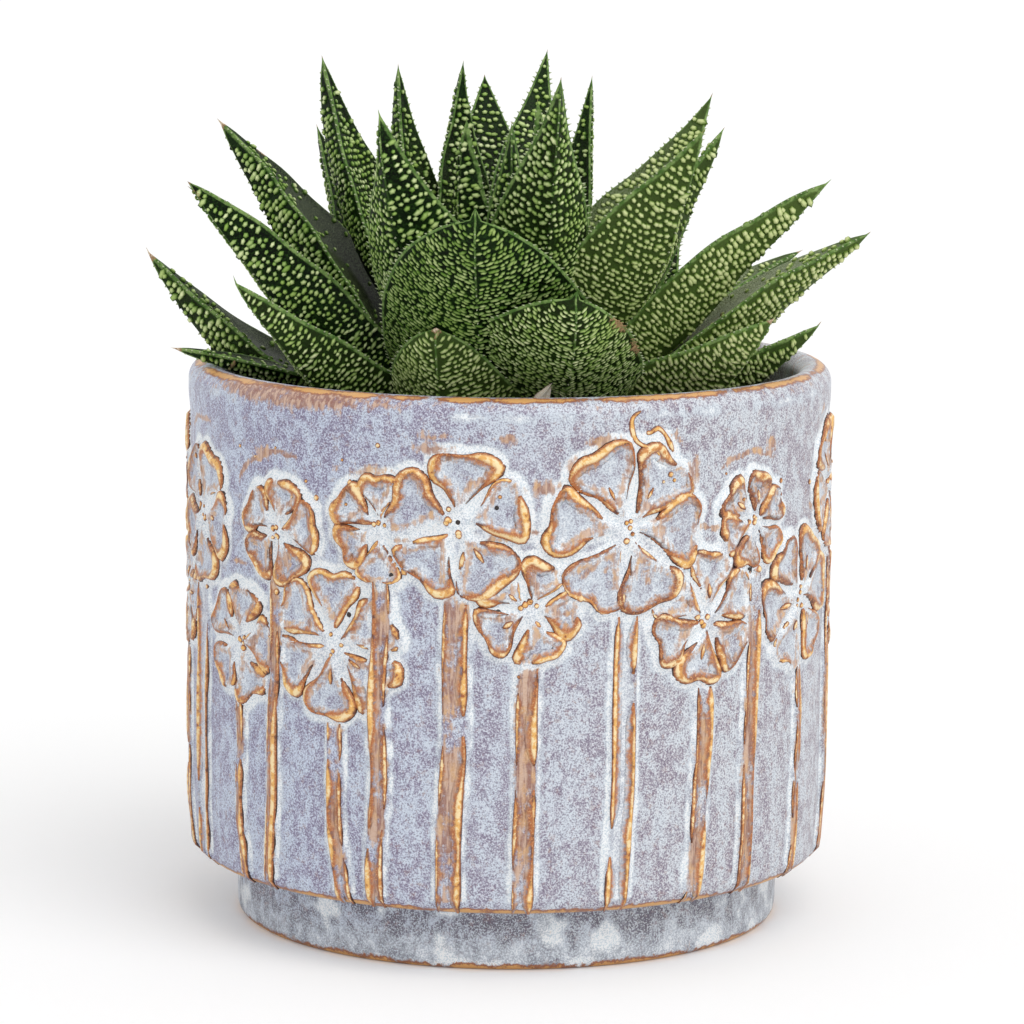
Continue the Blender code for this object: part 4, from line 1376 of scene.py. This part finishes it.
def make_soil(material):
    """Loose potting soil: an uneven surface with crumbs of every size on it."""
    draw = np.random.default_rng(SEED + 42)
    rings = SOIL_RADIUS * (1 - np.arange(SOIL_RINGS) / SOIL_RINGS) ** 0.9
    rings = np.repeat(rings[:, None], SOIL_COLUMNS, 1)
    top = lathed(rings, 0 * rings)
    top[..., 2] = soil_height(top[..., 0], top[..., 1])
    parts = MeshParts(("crumb",))
    below = lathed(*in_rings(SOIL_BELOW, SOIL_COLUMNS))
    closed_rows(parts, np.concatenate([below, top]), *SOIL_HUBS)
    golden = (1 + math.sqrt(5)) / 2
    corners = unit(np.array([(a, b * golden, 0) for a in (-1, 1) for b in (-1, 1)]
                            + [(0, a, b * golden) for a in (-1, 1) for b in (-1, 1)]
                            + [(b * golden, 0, a) for a in (-1, 1) for b in (-1, 1)], float))
    hull = [(i, j, k) for i in range(12) for j in range(i + 1, 12) for k in range(j + 1, 12)
            if max(np.linalg.norm(corners[i] - corners[j]), np.linalg.norm(corners[j] - corners[k]),
                   np.linalg.norm(corners[i] - corners[k])) < 1.1]
    lump = [f if np.linalg.det(corners[list(f)]) > 0 else f[::-1] for f in hull]
    for _ in range(CRUMBS):
        away, angle = (SOIL_RADIUS - 1.6) * math.sqrt(draw.uniform(0.03, 1)), draw.uniform(0, 2 * math.pi)
        x, y = away * math.cos(angle), away * math.sin(angle)
        size = CRUMB_LEAST + CRUMB_MORE * draw.uniform(0, 1) ** 2.5
        turned, _ = np.linalg.qr(draw.normal(0, 1, (3, 3)))
        shape = corners * draw.uniform(0.75, 1.25, (12, 1)) * draw.uniform(0.6, 1.15, 3) * size
        shape = shape @ (turned * np.sign(np.linalg.det(turned)))
        parts.add(shape + (x, y, soil_height(x, y) + 0.35 * size), lump, crumb=draw.uniform(0.25, 1))
    return parts.build("potting_soil", material)


def make_stem(material):
    """The short stem, with the scars of the leaves that it has shed."""
    outline = np.array(STEM_OUTLINE, float)
    path = lengths_along(outline)
    places = np.linspace(1.5, path[-1] - 0.8, STEM_ROWS)
    radius, level = np.interp(places, path, outline[:, 0]), np.interp(places, path, outline[:, 1])
    uneven = Waves(SEED + 50, 6, (5, 0.5))
    turns = np.arange(STEM_COLUMNS) / STEM_COLUMNS
    spin = np.sin(2 * math.pi * 3 * turns[None] + level[:, None] * 0.9)
    scars = 0.16 * np.sin(level[:, None] * 2.6 + 1.2 * spin) + 0.12 * uneven(spin * 0.4, level[:, None])
    radii = radius[:, None] * (1 + 0.02 * spin) - 0.28 + scars * np.clip(radius[:, None] / 5, 0, 1)
    parts = MeshParts(("scar",))
    heights = np.repeat(level[:, None], STEM_COLUMNS, 1)
    closed_rows(parts, lathed(np.maximum(radii, 0.3), heights), (0, 0, 84.0), (0, 0, 130.0), scar=scars)
    return parts.build("leaf_stem", material)


def make_husk(material):
    """The withered leaf: a curled scrap of papery skin."""
    t = np.repeat(np.linspace(0, 1.02, PAPER_ROWS), PAPER_COLUMNS)
    s = np.tile(np.linspace(-1, 1, PAPER_COLUMNS), PAPER_ROWS)
    point, _, across, up = leaf_frame(HUSK, t)
    crumple, ragged = Waves(SEED + 60, 6, (4.5, 1.1)), Waves(SEED + 61, 5, (9, 0.1))
    off = along(PAPER_RIGHT, t) * (1 + s) / 2 - along(PAPER_LEFT, t) * (1 - s) / 2
    off = off + 0.12 * s * ragged(t, np.sign(s))
    fold = 0.6 * np.abs(s) - 0.3 + 0.20 * crumple(t, s)
    middle = point + across * off[:, None] + up * fold[:, None]
    thin = PAPER * (1 - 0.6 * np.abs(s))
    faces = grid_faces(PAPER_ROWS, PAPER_COLUMNS, closed_round=False)
    count = len(t)
    ring = np.concatenate([np.arange(PAPER_COLUMNS),
                           np.arange(2, PAPER_ROWS) * PAPER_COLUMNS - 1,
                           np.arange(count - 1, count - PAPER_COLUMNS - 1, -1),
                           np.arange(PAPER_ROWS - 2, 0, -1) * PAPER_COLUMNS])
    after = np.roll(ring, -1)
    wall = np.concatenate([np.stack([after, ring, ring + count], -1),
                           np.stack([after, ring + count, after + count], -1)])
    parts = MeshParts(("rim", "run"))
    sheet = np.concatenate([middle + up * thin[:, None], middle - up * thin[:, None]])
    parts.add(sheet, np.concatenate([faces[:, ::-1], faces + count, wall]),
              rim=np.tile(np.abs(s) ** 5, 2), run=np.tile(s, 2))
    return parts.build("withered_skin", material)


def soil_material():
    look = Shader("potting_soil")
    [crumb] = look.values(["crumb"])
    grain = look.noise(0.7, 4.0, 0.7)
    colour = look.mix(grain.between(0.35, 0.68), (24, 17, 12), (72, 52, 36))
    colour = look.mix(look.noise(4.0, 3.0, 0.6).between(0.5, 0.8), colour, (48, 32, 22))
    shard = look.mix(crumb.between(0.6, 1.0), (58, 40, 28), (112, 82, 54))
    shard = look.mix(grain.between(0.4, 0.6), shard, (38, 26, 18))
    colour = look.mix(crumb.between(0.1, 0.3), colour, shard)
    return look.finish(colour, 0.92, grain, depth=0.3, shine=0.2)


def stem_material():
    look = Shader("leafy_stem")
    [scar] = look.values(["scar"])
    grain = look.noise(0.6, 3.0, 0.6)
    rings = look.noise(1.2, 3.0, 0.6, (0.3, 0.3, 1))
    colour = look.mix(rings.between(0.35, 0.65), (96, 104, 58), (134, 126, 84))
    colour = look.mix(scar.between(0.0, -0.2), colour, (84, 60, 38))
    colour = look.mix(grain.between(0.55, 0.75), colour, (168, 152, 112))
    return look.finish(colour, 0.7, grain, depth=0.12, shine=0.3)


def husk_material():
    look = Shader("withered_leaf")
    rim, run = look.values(["rim", "run"])
    grain = look.noise(0.4, 3.0, 0.6)
    veins = look.math("SINE", (run + look.noise(3.0)) * 26.0)
    # near-white, paler than the scrap's own cream: painted light against the shade it lies in
    colour = look.mix(grain.between(0.3, 0.7), (250, 232, 206), (255, 250, 238))
    colour = look.mix(veins.between(0.3, 1.0) * 0.22, colour, (186, 146, 108))
    colour = look.mix((rim + grain).between(1.3, 1.6), colour, (122, 78, 48))
    return look.finish(colour, 0.8, grain, depth=0.12, shine=0.25)


# ---------------------------------------------------------------- stage, lights and camera
CAMERA_PLACE = (0.66, -955.1, 236.3)  # millimetres
CAMERA_PITCH = 8.86  # degrees below the horizon
CAMERA_ROLL = 0.43  # degrees
LENS = 156.0
SENSOR = 36.0
FLOOR_REACH = 12.0  # metres
FLOOR_PALENESS = 0.87
FLOOR_GLOW = 0.14  # what the floor adds for the camera alone
SKY = 0.76  # how bright the sky is as a light. The camera and reflections see it as 1
SUN = 1.12
SUN_ANGLE = 50.0  # degrees, for soft shadows
SUN_PLACE = (0.55, -0.75, 1.15)
WHITE = (1, 1, 1, 1)


def make_camera():
    data = bpy.data.cameras.new("camera")
    data.sensor_width = SENSOR
    data.lens = LENS
    data.clip_start, data.clip_end = 0.05, 50
    camera = placed("camera", data)
    camera.location = Vector(CAMERA_PLACE) * MM
    tilt = Matrix.Rotation(math.radians(90 - CAMERA_PITCH), 4, "X")
    turn = Matrix.Rotation(math.radians(CAMERA_ROLL), 4, "Z")
    camera.rotation_mode = "QUATERNION"
    camera.rotation_quaternion = (tilt @ turn).to_quaternion()
    bpy.context.scene.camera = camera


def make_floor():
    mesh = bpy.data.meshes.new("floor")
    corners = [(x * FLOOR_REACH, y * FLOOR_REACH, 0) for x, y in ((-1, -1), (1, -1), (1, 1), (-1, 1))]
    mesh.from_pydata(corners, [], [(0, 1, 2, 3)])
    floor = placed("floor", mesh)
    material = bpy.data.materials.new("floor")
    material.use_nodes = True
    material.node_tree.nodes.clear()
    look = Nodes(material.node_tree)
    matt = look.node("ShaderNodeBsdfDiffuse", {"Color": (FLOOR_PALENESS,) * 3 + (1,)})
    glow = look.node("ShaderNodeEmission", {"Color": WHITE, "Strength": look.ray("Camera") * FLOOR_GLOW})
    both = look.node("ShaderNodeAddShader", {0: matt, 1: glow})
    look.node("ShaderNodeOutputMaterial", {"Surface": both})
    mesh.materials.append(material)


def make_lights():
    world = bpy.data.worlds.new("studio")
    bpy.context.scene.world = world
    world.use_nodes = True
    look = Nodes(world.node_tree)
    seen = look.math("MAXIMUM", look.ray("Camera"),
                     look.math("MAXIMUM", look.ray("Glossy"), look.ray("Transmission")))
    strength = look.node("ShaderNodeMapRange", {"Value": seen, "To Min": SKY, "To Max": 1.0})
    sky = world.node_tree.nodes["Background"].inputs
    look.feed(sky["Color"], WHITE)
    look.feed(sky["Strength"], strength)
    data = bpy.data.lights.new("key", "SUN")
    data.energy = SUN
    data.angle = math.radians(SUN_ANGLE)
    key = placed("key", data)
    key.rotation_mode = "QUATERNION"
    key.rotation_quaternion = Vector(SUN_PLACE).to_track_quat("Z", "Y")


# ---------------------------------------------------------------- assembly
def join(piece, node):
    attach(piece, "root")
    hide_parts(node)


def main():
    bpy.context.scene.view_settings.view_transform = "Standard"
    leaf_look = leaf_material()
    skins, tree = all_skins()
    for skin in skins:
        join(make_leaf(skin, leaf_look, tree), skin.name)
    glaze = glaze_material()
    relief = make_relief()
    join(make_pot(relief, glaze), "pot")
    join(make_gold_lines(relief, glaze), "pot")
    join(make_soil(soil_material()), "soil")
    join(make_stem(stem_material()), "stem")
    join(make_husk(husk_material()), "withered_leaf")
    make_floor()
    make_lights()
    make_camera()


main()
